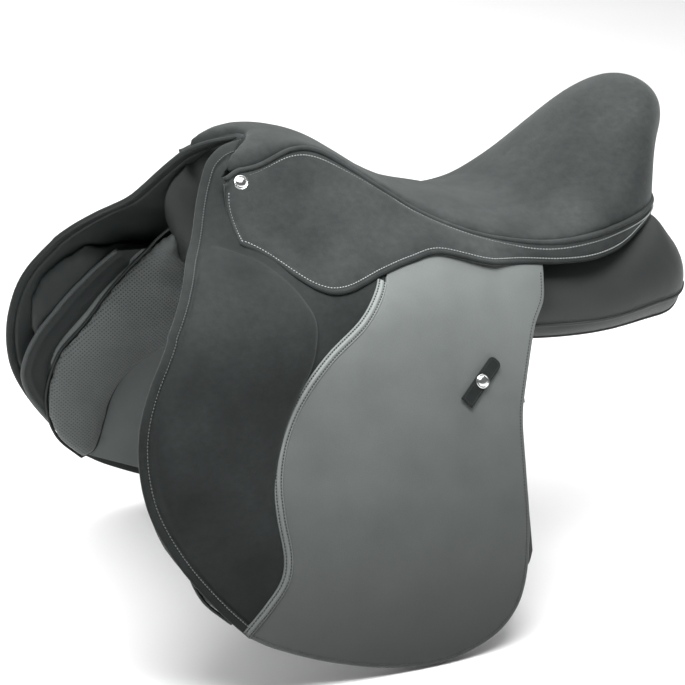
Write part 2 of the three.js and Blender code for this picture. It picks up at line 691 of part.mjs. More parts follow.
function flapHeadShape() {
  return outline(
    [
      [FRONT_FOLD_X, FOLD_TOP], [-297, 107], [-281, 122], [-267, 135], [-251, 160], [-241, 174], [-230, 189],
      [-214, 199], [-190, 205],
    ],
    [[-190, 205], [-205, 194], [-219, 176], [-224, 150], [-215, 120], [-192, 103]],
    [[-192, 103], [-120, 103], [-62, 103], [-36, 101], [0, 93], [40, 88], [64, 87]],
    [[64, 87], [REAR_FOLD_X, FOLD_TOP]],
  );
}

function flapFrontShape() {
  const seam = SEAM.slice(1).map(([x, z]) => [x - GAP, z - GAP]);
  return outline(
    [[SEAM_FOLD_X - GAP, FOLD_LOW], [FRONT_FOLD_X, FOLD_LOW]],
    [[FRONT_FOLD_X, FOLD_LOW], ...FLAP_FRONT_EDGE],
    [...seam.reverse(), [SEAM_FOLD_X - GAP, FOLD_LOW]],
  );
}

function flapRearShape() {
  return outline(
    [[REAR_FOLD_X, FOLD_LOW], [SEAM_FOLD_X + GAP, FOLD_LOW]],
    [[SEAM_FOLD_X + GAP, FOLD_LOW], ...SEAM.slice(1, -1).map(([x, z]) => [x + GAP, z - GAP]), [-280, -183.5]],
    [[-280, -183.5], ...FLAP_BOTTOM.slice(1, -1), [REAR_FOLD_X, FOLD_LOW]],
  );
}

function kneeBlockShape() {
  return outline(
    [[-192, 72], [-294, 72]],
    [
      [-294, 72], [-330, 40], [-344, 0], [-334, -42], [-300, -70], [-262, -62], [-232, -20], [-206, 20],
      [-191, 50], [-192, 72],
    ],
  );
}

function sweatFlapShape() {
  return outline(
    [[50, 76], [-262, 77]],
    [[-262, 77], [-300, 26], [-336, -20], [-350, -58], [-344, -88], [-328, -116], [-304, -146], [-283, -172]],
    [
      [-283, -172], [-250, -186], [-200, -206], [-146, -222], [-90, -227], [-45, -216], [-22, -195],
      [-10, -165], [-3, -120], [2, -80], [5, -40], [14, -8], [30, 36], [50, 76],
    ],
  );
}

function kneePadShape() {
  return outline(
    [[-80, 62], [-190, 67]],
    [[-190, 67], [-198, 78], [-204, 96], [-209, 110], [-219, 118]],
    [
      [-219, 118], [-226, 98], [-234, 74], [-259, 32], [-290, -13], [-314, -43], [-324, -79], [-324, -114],
      [-312, -148], [-287, -174],
    ],
    [
      [-287, -174], [-272, -164], [-264, -135], [-257, -105], [-246, -80], [-228, -60], [-200, -46],
      [-150, -38], [-80, -36],
    ],
    [[-80, -36], [-80, 62]],
  );
}

// ---------------------------------------------------------------- panels

// A closed cushion through elliptical stations along X.
function panelCushion() {
  const sphere = new THREE.SphereGeometry(1, 14, 13);
  const position = sphere.attributes.position;
  const [y, z, halfY, halfZ] = [1, 2, 3, 4].map((c) => smoothTable(PANEL, c));
  for (let i = 0; i < position.count; i++) {
    const pole = Math.acos(clamp(position.getY(i), -1, 1)) / Math.PI;
    const angle = Math.atan2(position.getZ(i), position.getX(i));
    const round = Math.hypot(position.getX(i), position.getZ(i)) > 1e-6 ? 1 : 0;
    const x = lerp(PANEL[0][0], PANEL.at(-1)[0], pole);
    const across = round * halfY(x) * Math.cos(angle);
    position.setXYZ(i, x, -y(x) - across, z(x) + round * halfZ(x) * Math.sin(angle));
  }
  return facedOut(sphere);
}

// ---------------------------------------------------------------- assembly

const saddle = new THREE.Group();
const screws = [];
for (const z of SCREW_HEIGHTS) for (const side of [-1, 1]) screws.push({ z, side });
const screwHoles = screws.map(screwHole);

const tree = treeSolid(screwHoles).add(toSolid(cantlePlate(0)));
saddle.add(makeMesh("tree", toGeometry(tree), POLYMER));

let plate = toSolid(archBand(-GAP, -GAP - PLATE_THICK, ARCH.front + 3, ARCH.rear - 5, PLATE_LOW_Z));
for (const hole of screwHoles) plate = plate.subtract(hole);
saddle.add(makeMesh("gullet_plate", toGeometry(plate), STEEL));
screws.forEach((at, i) => {
  const name = `gullet_screw_${at.side < 0 ? "left" : "right"}_${i < 2 ? "upper" : "lower"}`;
  saddle.add(makeMesh(name, screw(at), STEEL));
});
const lining = archBand(-LINING.near, -LINING.far, LINING.front, ARCH.rear - 5, LINING.bottomZ);
saddle.add(makeMesh("arch_lining", lining, PANEL_LEATHER));
saddle.add(makeMesh("seat_cover", seatCover(), SUEDE));
const foam = toSolid(seatFoam()).subtract(toSolid(cantlePlate(PLATE_CLEARANCE)));
saddle.add(makeMesh("seat_foam", toGeometry(foam), FOAM));
saddle.add(makeMesh("seat_welt", welt(), SUEDE));
WEB_CENTRES.forEach((x, i) => {
  saddle.add(makeMesh(`girth_web_${i ? "rear" : "front"}`, girthWeb(x), WEBBING));
});

function saddleSide(label) {
  const side = new THREE.Group();
  const add = (name, geometry, finish) => side.add(makeMesh(`${name}_${label}`, geometry, finish));
  const addSolid = (name, solid, finish) => add(name, toGeometry(solid), finish);
  add("skirt_band", skirtBand(), SUEDE);
  add("skirt", liftingSkirt(), SUEDE);
  side.add(placedOnSkirt(makeMesh(`skirt_stud_${label}`, dome(STUD_RADIUS, 3, 2.2), SILVER)));
  addSolid("flap_head", sideSheet(flapHeadShape(), 0, -FLAP_THICK), SUEDE);
  addSolid("flap_front", sideSheet(flapFrontShape(), 0, -FLAP_THICK), SUEDE);
  addSolid("flap_rear", sideSheet(flapRearShape(), 0, -FLAP_THICK), LEATHER);
  const blockFace = -FLAP_THICK - GAP;
  addSolid("knee_block", sideSheet(kneeBlockShape(), blockFace, -KNEE_BLOCK_DEPTH), FOAM);
  const sweatBack = SWEAT_FACE - SWEAT_THICK;
  addSolid("sweat_flap", sideSheet(sweatFlapShape(), SWEAT_FACE, sweatBack), LEATHER);
  addSolid("knee_pad", sideSheet(kneePadShape(), PAD_FACE, PAD_BACK), PANEL_LEATHER);
  add("panel", panelCushion(), PANEL_LEATHER);
  addSolid("stirrup_bar", stirrupBar(), STEEL);
  addSolid("bar_catch", catchPlate(), STEEL);
  add("catch_pin", catchPin(), STEEL);
  RIVET_X.forEach((x, i) => add(`bar_rivet_${i ? "rear" : "front"}`, barRivet(x), STEEL));
  ["front", "middle", "rear"].forEach((place, i) => addSolid(`girth_strap_${place}`, girthStrap(i), LEATHER));
  addSolid("buckle_guard", buckleGuard(), LEATHER);
  const keeper = keeperFrame();
  const strapTop = KEEPER.lift + KEEPER.thick;
  keeper.add(makeMesh(`keeper_strap_${label}`, keeperStrap(), SUEDE));
  const stud = dome(KEEPER_STUD.radius, KEEPER_STUD.height, strapTop + GAP).translate(KEEPER.studAt, 0, 0);
  const post = dome(KEEPER_POST.radius, KEEPER_POST.height, GAP).translate(KEEPER.studAt, 0, 0);
  keeper.add(makeMesh(`keeper_stud_${label}`, stud, SILVER));
  keeper.add(makeMesh(`keeper_post_${label}`, post, STEEL));
  side.add(keeper);
  return side;
}

saddle.add(saddleSide("left"));
const right = saddleSide("right");
right.scale.y = -1;
saddle.add(right);

export default saddle;
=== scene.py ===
"""English saddle: its looks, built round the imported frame. Blender works in metres, the tables are in mm."""

import math

import bpy
import numpy as np
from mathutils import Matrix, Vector
from mathutils.bvhtree import BVHTree
from mathutils.geometry import delaunay_2d_cdt


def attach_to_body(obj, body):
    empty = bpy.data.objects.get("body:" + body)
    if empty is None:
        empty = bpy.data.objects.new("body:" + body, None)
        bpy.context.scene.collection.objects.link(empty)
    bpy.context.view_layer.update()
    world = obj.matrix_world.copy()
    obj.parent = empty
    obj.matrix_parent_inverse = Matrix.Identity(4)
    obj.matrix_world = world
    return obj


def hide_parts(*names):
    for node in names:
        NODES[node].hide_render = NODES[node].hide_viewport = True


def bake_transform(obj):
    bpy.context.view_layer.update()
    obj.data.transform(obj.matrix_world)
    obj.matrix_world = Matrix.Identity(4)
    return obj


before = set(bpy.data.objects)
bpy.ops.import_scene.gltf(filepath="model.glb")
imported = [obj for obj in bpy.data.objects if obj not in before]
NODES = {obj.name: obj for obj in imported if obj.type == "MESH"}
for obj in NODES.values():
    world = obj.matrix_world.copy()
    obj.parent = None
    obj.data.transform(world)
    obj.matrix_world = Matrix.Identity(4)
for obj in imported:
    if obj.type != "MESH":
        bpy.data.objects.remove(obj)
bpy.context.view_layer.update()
MM = 0.001
SIDES = {"left": 1, "right": -1}

# ---------------------------------------------------------------- camera and studio

TARGET = Vector((-0.085, 0, -0.010))
CAMERA_TURN = math.radians(23)
CAMERA_RISE = math.radians(17.5)
CAMERA_DISTANCE = 2.2
LENS = 117.93
FLOOR_Z = -0.2455


def aim(thing, place, target):
    thing.location = place
    thing.rotation_mode = "QUATERNION"
    thing.rotation_quaternion = (Vector(target) - Vector(place)).to_track_quat("-Z", "Y")


def make_camera():
    data = bpy.data.cameras.new("camera")
    data.lens = LENS
    data.sensor_width = 36
    data.clip_start = 0.05
    data.clip_end = 50
    camera = bpy.data.objects.new("camera", data)
    bpy.context.scene.collection.objects.link(camera)
    level = math.cos(CAMERA_RISE)
    look = Vector((math.sin(CAMERA_TURN) * level, math.cos(CAMERA_TURN) * level, -math.sin(CAMERA_RISE)))
    aim(camera, TARGET - look * CAMERA_DISTANCE, TARGET)
    bpy.context.scene.camera = camera


def area_light(name, place, target, size, power, colour=(1, 1, 1)):
    data = bpy.data.lights.new(name, "AREA")
    data.shape = "RECTANGLE"
    data.size, data.size_y = size
    data.energy = power
    data.color = colour
    light = bpy.data.objects.new(name, data)
    bpy.context.scene.collection.objects.link(light)
    aim(light, place, target)


def make_studio():
    scene = bpy.context.scene
    scene.view_settings.view_transform = "Standard"
    world = bpy.data.worlds.new("studio")
    world.use_nodes = True
    background = world.node_tree.nodes["Background"]
    background.inputs["Color"].default_value = (1, 1, 1, 1)
    background.inputs["Strength"].default_value = 0.14
    scene.world = world
    area_light("key", (-0.35, -0.7, 1.3), (-0.05, -0.1, 0.05), (1.1, 0.7), 32)
    area_light("top", (0.2, 0.3, 2.2), (0, 0.1, 0), (3.2, 3.2), 60)
    area_light("rim", (1.1, 1.0, 1.2), (0, 0, 0.1), (0.8, 0.8), 6)
    area_light("wash", (-1.2, 3.6, 3.0), (-1.2, 3.8, -0.25), (7.0, 4.0), 230)


make_camera()
make_studio()

# ---------------------------------------------------------------- tables of the shape, as in the CAD source

FRONT_X, REAR_X = -340, 70
FRONT_PROFILE = [
    (-260, 266), (-180, 256), (-100, 242), (-50, 226), (0, 212), (35, 204), (65, 190), (90, 168),
    (110, 138), (130, 98), (150, 72), (172, 48), (195, 24), (209, 2), (225, 0)]
REAR_PROFILE = [
    (-260, 246), (-200, 236), (-150, 224), (-100, 210), (-60, 198), (-20, 184), (20, 168), (60, 148),
    (100, 122), (140, 92), (180, 50), (196, 24), (209, 4), (225, 0)]
# centre x, z, welt x, half width, z, squareness of the section
SEAT = [
    (-184, 210, -228, 56, 188, 3.0), (-165, 213, -195, 57, 191, 3.0), (-143, 208, -158, 50, 202, 3.0),
    (-122, 200, -131, 48, 198, 2.8), (-97, 184, -99, 50, 178, 2.6), (-70, 166, -70, 57, 157, 2.3),
    (-36, 150, -36, 73, 134, 1.9), (5, 140, 5, 97, 117, 1.65), (42, 131, 42, 117, 111, 1.55),
    (78, 136, 78, 132, 110, 1.5), (112, 162, 112, 138, 114, 1.5), (148, 198, 146, 131, 119, 1.6),
    (185, 225, 178, 114, 123, 1.85), (218, 234, 204, 89, 126, 2.15), (243, 222, 219, 62, 127, 2.4),
    (254, 196, 228, 36, 128, 2.4), (251, 158, 232, 17, 128, 2.4), (238, 132, 233, 4, 128, 2.4)]
SKIRT_EDGE = [
    (-227, 133), (-205, 121), (-172, 98), (-145, 93), (-104, 102), (-72, 108), (-40, 111), (5, 98),
    (42, 92), (78, 88), (112, 89), (146, 95), (178, 107), (204, 113), (219, 115), (228, 116), (232, 116),
    (233, 116)]
SKIRT_LIFT = 12
SKIRT_HINGE = [np.array((-229.0, -66, 168)), np.array((-33.0, -112, 117))]
SKIRT_REAR = 0.36
SKIRT_THICK = 3.5
FLAP_THICK = 5
HEAD_EDGE = [
    (-190, 205), (-214, 201), (-232, 192), (-244, 178), (-254, 163), (-269, 138), (-282, 124), (-297, 107),
    (-321, 80)]
FRONT_EDGE = [
    (-326, 72), (-347, 42), (-359, 15), (-365, -15), (-364, -48), (-356, -78), (-337, -114), (-309, -152),
    (-281, -183)]
BOTTOM_EDGE = [
    (-281, -183), (-254, -199), (-205, -220), (-146, -237), (-90, -242), (-42, -230), (-14, -209),
    (1, -178), (9, -130), (11, -85), (14, -40), (22, -11), (40, 35), (56, 58), (63, 80)]
SEAM = [
    (-98, 101), (-110, 82), (-134, 60), (-173, 37), (-203, 11), (-224, -19), (-235, -51), (-237, -83),
    (-234, -120), (-240, -143), (-258, -163), (-281, -183)]
HEAD_BACK = [(-186, 114), (-206, 126), (-222, 150), (-219, 176), (-205, 194), (-190, 205)]
SWEAT_FACE, SWEAT_THICK = -20, 2.5
SWEAT_FRONT = [
    (-262, 77), (-300, 26), (-336, -20), (-350, -58), (-344, -88), (-328, -116), (-304, -146), (-283, -172)]
SWEAT_BOTTOM = [
    (-283, -172), (-250, -186), (-200, -206), (-146, -222), (-90, -227), (-45, -216), (-22, -195),
    (-10, -165), (-3, -120), (2, -80), (5, -40), (14, -8), (30, 36), (50, 76)]
PAD_FACE, PAD_BACK = -23, -42
PAD_FRONT = [
    (-219, 118), (-226, 98), (-234, 74), (-259, 32), (-290, -13), (-314, -43), (-324, -79), (-324, -114),
    (-312, -148), (-287, -174)]
PAD_BACK_EDGE = [
    (-287, -174), (-272, -164), (-264, -135), (-257, -105), (-246, -80), (-228, -60), (-200, -46),
    (-150, -38), (-80, -36)]
KNEE_ROLL = [
    (-254, 131), (-238, 126), (-218, 118), (-208, 111), (-195, 98), (-186, 83), (-182, 70), (-185, 55),
    (-194, 35), (-209, 14), (-226, -14), (-240, -50), (-248, -90), (-262, -120), (-285, -142), (-312, -125),
    (-334, -92), (-346, -55), (-350, -18), (-345, 12), (-334, 38), (-312, 72), (-286, 104), (-270, 120)]

# ---------------------------------------------------------------- curves and surfaces


def smooth_table(rows, column=1, keys=None):
    """Smooth function through the rows, the same one as the CAD source uses."""
    t = np.array([r[0] for r in rows] if keys is None else keys, float)
    v = np.array([r[column] for r in rows], float)
    low = np.maximum(np.arange(len(t)) - 1, 0)
    high = np.minimum(np.arange(len(t)) + 1, len(t) - 1)
    slope = (v[high] - v[low]) / (t[high] - t[low])

    def at(x):
        x = np.clip(np.asarray(x, float), t[0], t[-1])
        i = np.clip(np.searchsorted(t, x, side="right") - 1, 0, len(t) - 2)
        h = t[i + 1] - t[i]
        s = (x - t[i]) / h
        return ((2 * s**3 - 3 * s**2 + 1) * v[i] + (s**3 - 2 * s**2 + s) * h * slope[i]
                + (3 * s**2 - 2 * s**3) * v[i + 1] + (s**3 - s**2) * h * slope[i + 1])
    return at


front_width = smooth_table(FRONT_PROFILE)
rear_width = smooth_table(REAR_PROFILE)


def half_width(x, z):
    t = np.clip((np.asarray(x, float) - FRONT_X) / (REAR_X - FRONT_X), -0.1, 1.3)
    return front_width(z) * (1 - t) + rear_width(z) * t


def side_point(x, z, offset=0.0):
    """Points on the left side surface, moved outwards along its normal."""
    x, z = np.asarray(x, float), np.asarray(z, float)
    slope_x = (half_width(x + 1, z) - half_width(x - 1, z)) / 2
    slope_z = (half_width(x, z + 1) - half_width(x, z - 1)) / 2
    normal = unit(np.stack([-slope_x, -np.ones_like(x), -slope_z], -1))
    return np.stack([x, -half_width(x, z), z], -1) + normal * np.asarray(offset, float)[..., None]


def unit(v):
    return v / np.maximum(np.linalg.norm(v, axis=-1, keepdims=True), 1e-9)


def spline(points, step=3.0):
    """A smooth polyline through 2-D or 3-D points, evenly spaced."""
    p = np.array(points, float)
    if len(p) > 2:
        ends = np.vstack([2 * p[0] - p[1], p, 2 * p[-1] - p[-2]])
        rows = []
        for i in range(1, len(ends) - 2):
            a, b, c, d = ends[i - 1:i + 3]
            t = np.linspace(0, 1, 24, endpoint=False)[:, None]
            curve = (2 * a - 5 * b + 4 * c - d) * t**2 + (3 * b - a - 3 * c + d) * t**3
            rows.append(0.5 * (2 * b + (c - a) * t + curve))
        p = np.vstack(rows + [p[-1:]])
    return resample(p, step)


def resample(p, step):
    length = np.concatenate([[0], np.cumsum(np.linalg.norm(np.diff(p, axis=0), axis=1))])
    count = max(int(round(length[-1] / step)), 1)
    at = np.linspace(0, length[-1], count + 1)
    return np.stack([np.interp(at, length, p[:, k]) for k in range(p.shape[1])], 1)


def loop(*runs, step=3.0):
    """Closed outline from smooth runs that meet at corners, as points without the repeated end."""
    rows = []
    for run in runs:
        row = spline(run, step)
        if rows and np.linalg.norm(rows[-1][-1] - row[0]) < 0.05:
            row = row[1:]
        rows.append(row)
    p = np.vstack(rows)
    return p[:-1] if np.linalg.norm(p[0] - p[-1]) < 0.05 else p


def distance_to(line, points, closed=False):
    """Distance of 2-D points to a polyline."""
    a = line
    b = np.roll(line, -1, axis=0) if closed else line[1:]
    a = a if closed else a[:-1]
    ab = b - a
    best = np.full(len(points), 1e9)
    for k in range(0, len(points), 2000):
        q = points[k:k + 2000, None, :]
        t = np.clip(((q - a) * ab).sum(-1) / np.maximum((ab**2).sum(-1), 1e-9), 0, 1)
        d = np.linalg.norm(q - (a + ab * t[..., None]), axis=-1)
        best[k:k + 2000] = d.min(1)
    return best


def inside(polygon, points):
    x, y = points[:, 0], points[:, 1]
    found = np.zeros(len(points), bool)
    for (x0, y0), (x1, y1) in zip(polygon, np.roll(polygon, -1, axis=0)):
        if y0 == y1:
            continue
        crosses = (y0 > y) != (y1 > y)
        found ^= crosses & (x < (x1 - x0) * (y - y0) / (y1 - y0) + x0)
    return found


def smoothstep(a, b, x):
    t = np.clip((np.asarray(x, float) - a) / (b - a), 0, 1)
    return t * t * (3 - 2 * t)


def seat_station(s, column):
    rows = smooth_table(SEAT, column, keys=range(len(SEAT)))
    return rows(np.clip(s, 0, 1) * (len(SEAT) - 1))


def seat_point(s, t, depth=0.0):
    """Point of the seat: s runs from pommel to cantle, t across, depth is under the surface."""
    s, t = np.broadcast_arrays(np.asarray(s, float), np.asarray(t, float))
    cx, cz, wx, ww, wz, power = (seat_station(s, c) for c in range(6))
    across = np.abs(t)
    rise = np.maximum(1 - across**power, 0) ** (1 / power)
    bluntness = 1.6 + 2.2 * smoothstep(0.7, 0.86, s)
    x = cx + (wx - cx) * across**bluntness - depth * np.clip((s - 0.78) / 0.12, 0, 1)
    y = np.sign(t) * np.maximum(ww - depth, 1.5) * across
    return np.stack([x, y, wz + (cz - depth - wz) * rise], -1)


def welt_point(s):
    return np.stack([seat_station(s, 2), -seat_station(s, 3), seat_station(s, 4)], -1)


def skirt_edge_point(s):
    at = np.clip(s, 0, 1) * (len(SKIRT_EDGE) - 1)
    keys = range(len(SKIRT_EDGE))
    x = smooth_table(SKIRT_EDGE, 0, keys)(at)
    z = smooth_table(SKIRT_EDGE, 1, keys)(at)
    y = side_point(x, z, SKIRT_LIFT)[..., 1]
    blend = np.clip((np.asarray(s) - 0.42) / 0.16, 0, 1)
    return np.stack([x, y + (-(seat_station(s, 3) + 2) - y) * blend, z], -1)


def hinge_point(s):
    start, end = skirt_edge_point(0.0)[0], skirt_edge_point(SKIRT_REAR)[0]
    t = (skirt_edge_point(s)[..., 0] - start) / (end - start)
    return SKIRT_HINGE[0] + (SKIRT_HINGE[1] - SKIRT_HINGE[0]) * np.asarray(t)[..., None]

# ---------------------------------------------------------------- materials


# Heights in metres of the painted shading: painted shade at the lower one, painted light at the upper one.
PAINTED_SHADING_HEIGHTS = (-0.23, 0.09)
DOT_PITCH = 0.0042


def new_material(name):
    material = bpy.data.materials.new(name)
    material.use_nodes = True
    tree = material.node_tree
    return material, tree, tree.nodes["Principled BSDF"]


class Look:
    """Small helper that adds and links shader nodes."""

    def __init__(self, name):
        self.material, self.tree, self.shader = new_material(name)
        self.place = self.node("ShaderNodeTexCoord").outputs["Object"]

    def node(self, kind, **values):
        made = self.tree.nodes.new(kind)
        for key, value in values.items():
            setattr(made, key, value)
        return made

    def link(self, a, b):
        self.tree.links.new(a, b)

    def noise(self, scale, detail=4, roughness=0.55, stretch=(1, 1, 1), turn=(0, 0, 0)):
        mapping = self.node("ShaderNodeMapping")
        mapping.inputs["Scale"].default_value = stretch
        mapping.inputs["Rotation"].default_value = turn
        self.link(self.place, mapping.inputs["Vector"])
        made = self.node("ShaderNodeTexNoise")
        made.inputs["Scale"].default_value = scale
        made.inputs["Detail"].default_value = detail
        made.inputs["Roughness"].default_value = roughness
        self.link(mapping.outputs["Vector"], made.inputs["Vector"])
        return made.outputs["Fac"]

    def cells(self, scale, feature="DISTANCE_TO_EDGE", randomness=1.0):
        made = self.node("ShaderNodeTexVoronoi", feature=feature)
        made.inputs["Scale"].default_value = scale
        made.inputs["Randomness"].default_value = randomness
        self.link(self.place, made.inputs["Vector"])
        return made.outputs["Distance"]

    def remap(self, value, low, high, to_low, to_high):
        made = self.node("ShaderNodeMapRange")
        for key, number in zip(("From Min", "From Max", "To Min", "To Max"), (low, high, to_low, to_high)):
            made.inputs[key].default_value = number
        self.link(value, made.inputs["Value"])
        return made.outputs["Result"]

    def maths(self, operation, a, b):
        made = self.node("ShaderNodeMath", operation=operation)
        for socket, value in zip(made.inputs, (a, b)):
            if isinstance(value, (int, float)):
                socket.default_value = value
            else:
                self.link(value, socket)
        return made.outputs["Value"]

    def height(self, low, high):
        """Painted shading: goes from one factor at the flaps' lower edge, painted shade, to another at their
        top, painted light.
        """
        parts = self.node("ShaderNodeSeparateXYZ")
        self.link(self.place, parts.inputs["Vector"])
        return self.remap(parts.outputs["Z"], *PAINTED_SHADING_HEIGHTS, low, high)

    def tint(self, colour, *factors):
        """Base colour varied by the product of the factors."""
        total = factors[0]
        for factor in factors[1:]:
            total = self.maths("MULTIPLY", total, factor)
        made = self.node("ShaderNodeMix", data_type="RGBA", blend_type="MULTIPLY")
        made.inputs["Factor"].default_value = 1
        made.inputs[6].default_value = (*colour, 1)
        grey = self.node("ShaderNodeCombineColor")
        for socket in grey.inputs[:3]:
            self.link(total, socket)
        self.link(grey.outputs["Color"], made.inputs[7])
        self.link(made.outputs[2], self.shader.inputs["Base Color"])

    def rough(self, value):
        self.link(value, self.shader.inputs["Roughness"])

    def bumps(self, *layers):
        """Each layer is a height, how many metres it stands and its strength."""
        normal = None
        for height, distance, strength in layers:
            bump = self.node("ShaderNodeBump")
            bump.inputs["Distance"].default_value = distance
            bump.inputs["Strength"].default_value = strength
            self.link(height, bump.inputs["Height"])
            if normal:
                self.link(normal, bump.inputs["Normal"])
            normal = bump.outputs["Normal"]
        self.link(normal, self.shader.inputs["Normal"])

    def set(self, **values):
        for key, value in values.items():
            self.shader.inputs[key.replace("_", " ")].default_value = value
        return self.material


def suede(name, colour, painted_shading=(0.72, 1.12)):
    look = Look(name)
    brushed = look.noise(16, 3, 0.5)
    nap = look.noise(150, 4, 0.6, stretch=(1, 0.6, 1.5))
    fibre = look.noise(1500, 5, 0.7)
    # The last factor is painted shading, darker towards the bottom and lighter at the top.
    look.tint(colour, look.remap(brushed, 0.3, 0.7, 0.74, 1.3), look.remap(nap, 0.25, 0.75, 0.8, 1.2),
              look.remap(fibre, 0.2, 0.8, 0.8, 1.22), look.height(*painted_shading))
    look.rough(look.remap(nap, 0, 1, 0.8, 0.92))
    look.bumps((nap, 0.0006, 0.25), (fibre, 0.0003, 0.5))
    return look.set(Sheen_Weight=0.15, Sheen_Roughness=0.35, Sheen_Tint=(0.86, 0.93, 0.91, 1),
                    Specular_IOR_Level=0.22)


def leather(name, colour, roughness=0.5, grain=750, sheen=0.05, painted_shading=(1, 1), shine=0.42):
    look = Look(name)
    pores = look.cells(grain)
    wrinkles = look.cells(grain * 0.4)
    cloud = look.noise(22, 3, 0.5)
    fine = look.noise(2600, 3, 0.6)
    # The last factor is painted shading, darker towards the bottom and lighter at the top.
    look.tint(colour, look.remap(cloud, 0.3, 0.7, 0.92, 1.08), look.remap(pores, 0, 0.12, 0.86, 1.0),
              look.remap(fine, 0.2, 0.8, 0.92, 1.08), look.height(*painted_shading))
    look.rough(look.remap(cloud, 0.2, 0.8, roughness - 0.06, roughness + 0.07))
    look.bumps((look.remap(pores, 0, 0.25, 0, 1), 0.00012, 0.5),
               (look.remap(wrinkles, 0, 0.3, 0, 1), 0.0001, 0.25), (fine, 0.00008, 0.4))
    return look.set(Sheen_Weight=sheen, Sheen_Roughness=0.4, Specular_IOR_Level=shine)


def perforated(name, colour):
    look = Look(name)
    flat = look.node("ShaderNodeSeparateXYZ")
    look.link(look.place, flat.inputs["Vector"])
    dots = []
    for shift in (0, 0.5):
        plane = look.node("ShaderNodeCombineXYZ")
        for axis, name_in in (("X", "X"), ("Y", "Z")):
            scaled = look.maths("MULTIPLY_ADD", flat.outputs[name_in], 1 / DOT_PITCH)
            scaled.node.inputs[2].default_value = shift
            look.link(scaled, plane.inputs[axis])
        lattice = look.node("ShaderNodeTexVoronoi", voronoi_dimensions="2D")
        lattice.inputs["Scale"].default_value = 1
        lattice.inputs["Randomness"].default_value = 0
        look.link(plane.outputs["Vector"], lattice.inputs["Vector"])
        dots.append(lattice.outputs["Distance"])
    dot = look.remap(look.maths("MINIMUM", dots[0], dots[1]), 0.13, 0.21, 0, 1)
    fades = look.remap(flat.outputs["Z"], 0.045, 0.075, 0, 1)
    dot = look.maths("MAXIMUM", dot, fades)
    cloud = look.noise(30, 3, 0.5)
    pores = look.cells(900)
    look.tint(colour, look.remap(dot, 0, 1, 0.3, 1), look.remap(cloud, 0.3, 0.7, 0.9, 1.1))
    look.rough(look.remap(cloud, 0.2, 0.8, 0.5, 0.62))
    look.bumps((dot, 0.0007, 0.8), (look.remap(pores, 0, 0.25, 0, 1), 0.0001, 0.4))
    return look.set(Specular_IOR_Level=0.4, Sheen_Weight=0.1)


def woven(name, colour, pitch=0.0016):
    look = Look(name)
    waves = []
    for direction in ("X", "Y", "Z"):
        wave = look.node("ShaderNodeTexWave", bands_direction=direction)
        wave.inputs["Scale"].default_value = 1 / pitch / 3.2
        look.link(look.place, wave.inputs["Vector"])
        waves.append(wave.outputs["Fac"])
    weave = look.maths("MULTIPLY", waves[0], look.maths("ADD", waves[1], waves[2]))
    fuzz = look.noise(900, 3, 0.6)
    look.tint(colour, look.remap(weave, 0, 2, 0.6, 1.3), look.remap(fuzz, 0.2, 0.8, 0.85, 1.15))
    look.rough(look.remap(fuzz, 0, 1, 0.8, 0.95))
    look.bumps((weave, 0.0004, 0.5))
    return look.set(Sheen_Weight=0.3, Specular_IOR_Level=0.2)


def metal(name, colour, roughness, brushed=False):
    look = Look(name)
    lines = look.noise(260, 4, 0.6, stretch=(0.06, 1, 1) if brushed else (1, 1, 1))
    wear = look.noise(60, 3, 0.5)
    look.tint(colour, look.remap(wear, 0.3, 0.7, 0.9, 1.05))
    look.rough(look.maths("ADD", look.remap(lines, 0.2, 0.8, roughness - 0.06, roughness + 0.1),
                          look.remap(wear, 0.3, 0.7, 0, 0.05)))
    look.bumps((lines, 0.00004, 0.3))
    return look.set(Metallic=1.0)


def moulded(name, colour):
    look = Look(name)
    grain = look.noise(1100, 3, 0.6)
    cloud = look.noise(18, 3, 0.5)
    look.tint(colour, look.remap(cloud, 0.3, 0.7, 0.85, 1.15), look.remap(grain, 0.2, 0.8, 0.9, 1.1))
    look.rough(look.remap(cloud, 0.2, 0.8, 0.46, 0.62))
    look.bumps((grain, 0.0001, 0.5))
    return look.set(Specular_IOR_Level=0.45)


def thread(name, colour):
    look = Look(name)
    twist = look.noise(1800, 3, 0.6)
    look.tint(colour, look.remap(twist, 0.2, 0.8, 0.75, 1.25))
    look.rough(look.remap(twist, 0, 1, 0.5, 0.7))
    look.bumps((twist, 0.0001, 0.5))
    return look.set(Sheen_Weight=0.2)


# The last pairs of numbers given to the suedes, LEATHER and BAND are painted shading: painted shade low on the
# flaps, painted light at their top.
SUEDE = suede("suede_charcoal", (0.034, 0.0385, 0.0378), (0.5, 1.0))
# The flap's suede is the seat's suede made darker; its darkness is painted shade.
SUEDE_FLAP_SHADED = suede("suede_flap_shaded", (0.0165, 0.0195, 0.019), (0.4, 1.25))
SUEDE_DARK = suede("suede_shadow", (0.013, 0.016, 0.0155))
LEATHER = leather("flap_leather", (0.125, 0.138, 0.134), 0.46, 1300, painted_shading=(0.22, 1.25))
BAND = leather("band_leather", (0.19, 0.21, 0.204), 0.46, 1300, painted_shading=(0.35, 1.25))
BINDING = leather("binding_leather", (0.045, 0.052, 0.051), 0.5, 1100)
LINING = leather("lining_leather", (0.0125, 0.016, 0.0155), 0.45, 1000, 0.0, shine=0.3)
PANEL = leather("panel_leather", (0.028, 0.032, 0.031), 0.55, 1000, 0.1)
SWEAT = leather("sweat_leather", (0.105, 0.118, 0.115), 0.5, 1100)
STRAP = leather("strap_leather", (0.026, 0.028, 0.028), 0.42, 1200)
PERFORATED = perforated("perforated_leather", (0.080, 0.091, 0.089))
THREAD_MID = thread("thread_mid", (0.085, 0.094, 0.092))
THREAD = thread("thread_grey", (0.36, 0.39, 0.38))
THREAD_DARK = thread("thread_dark", (0.009, 0.010, 0.010))
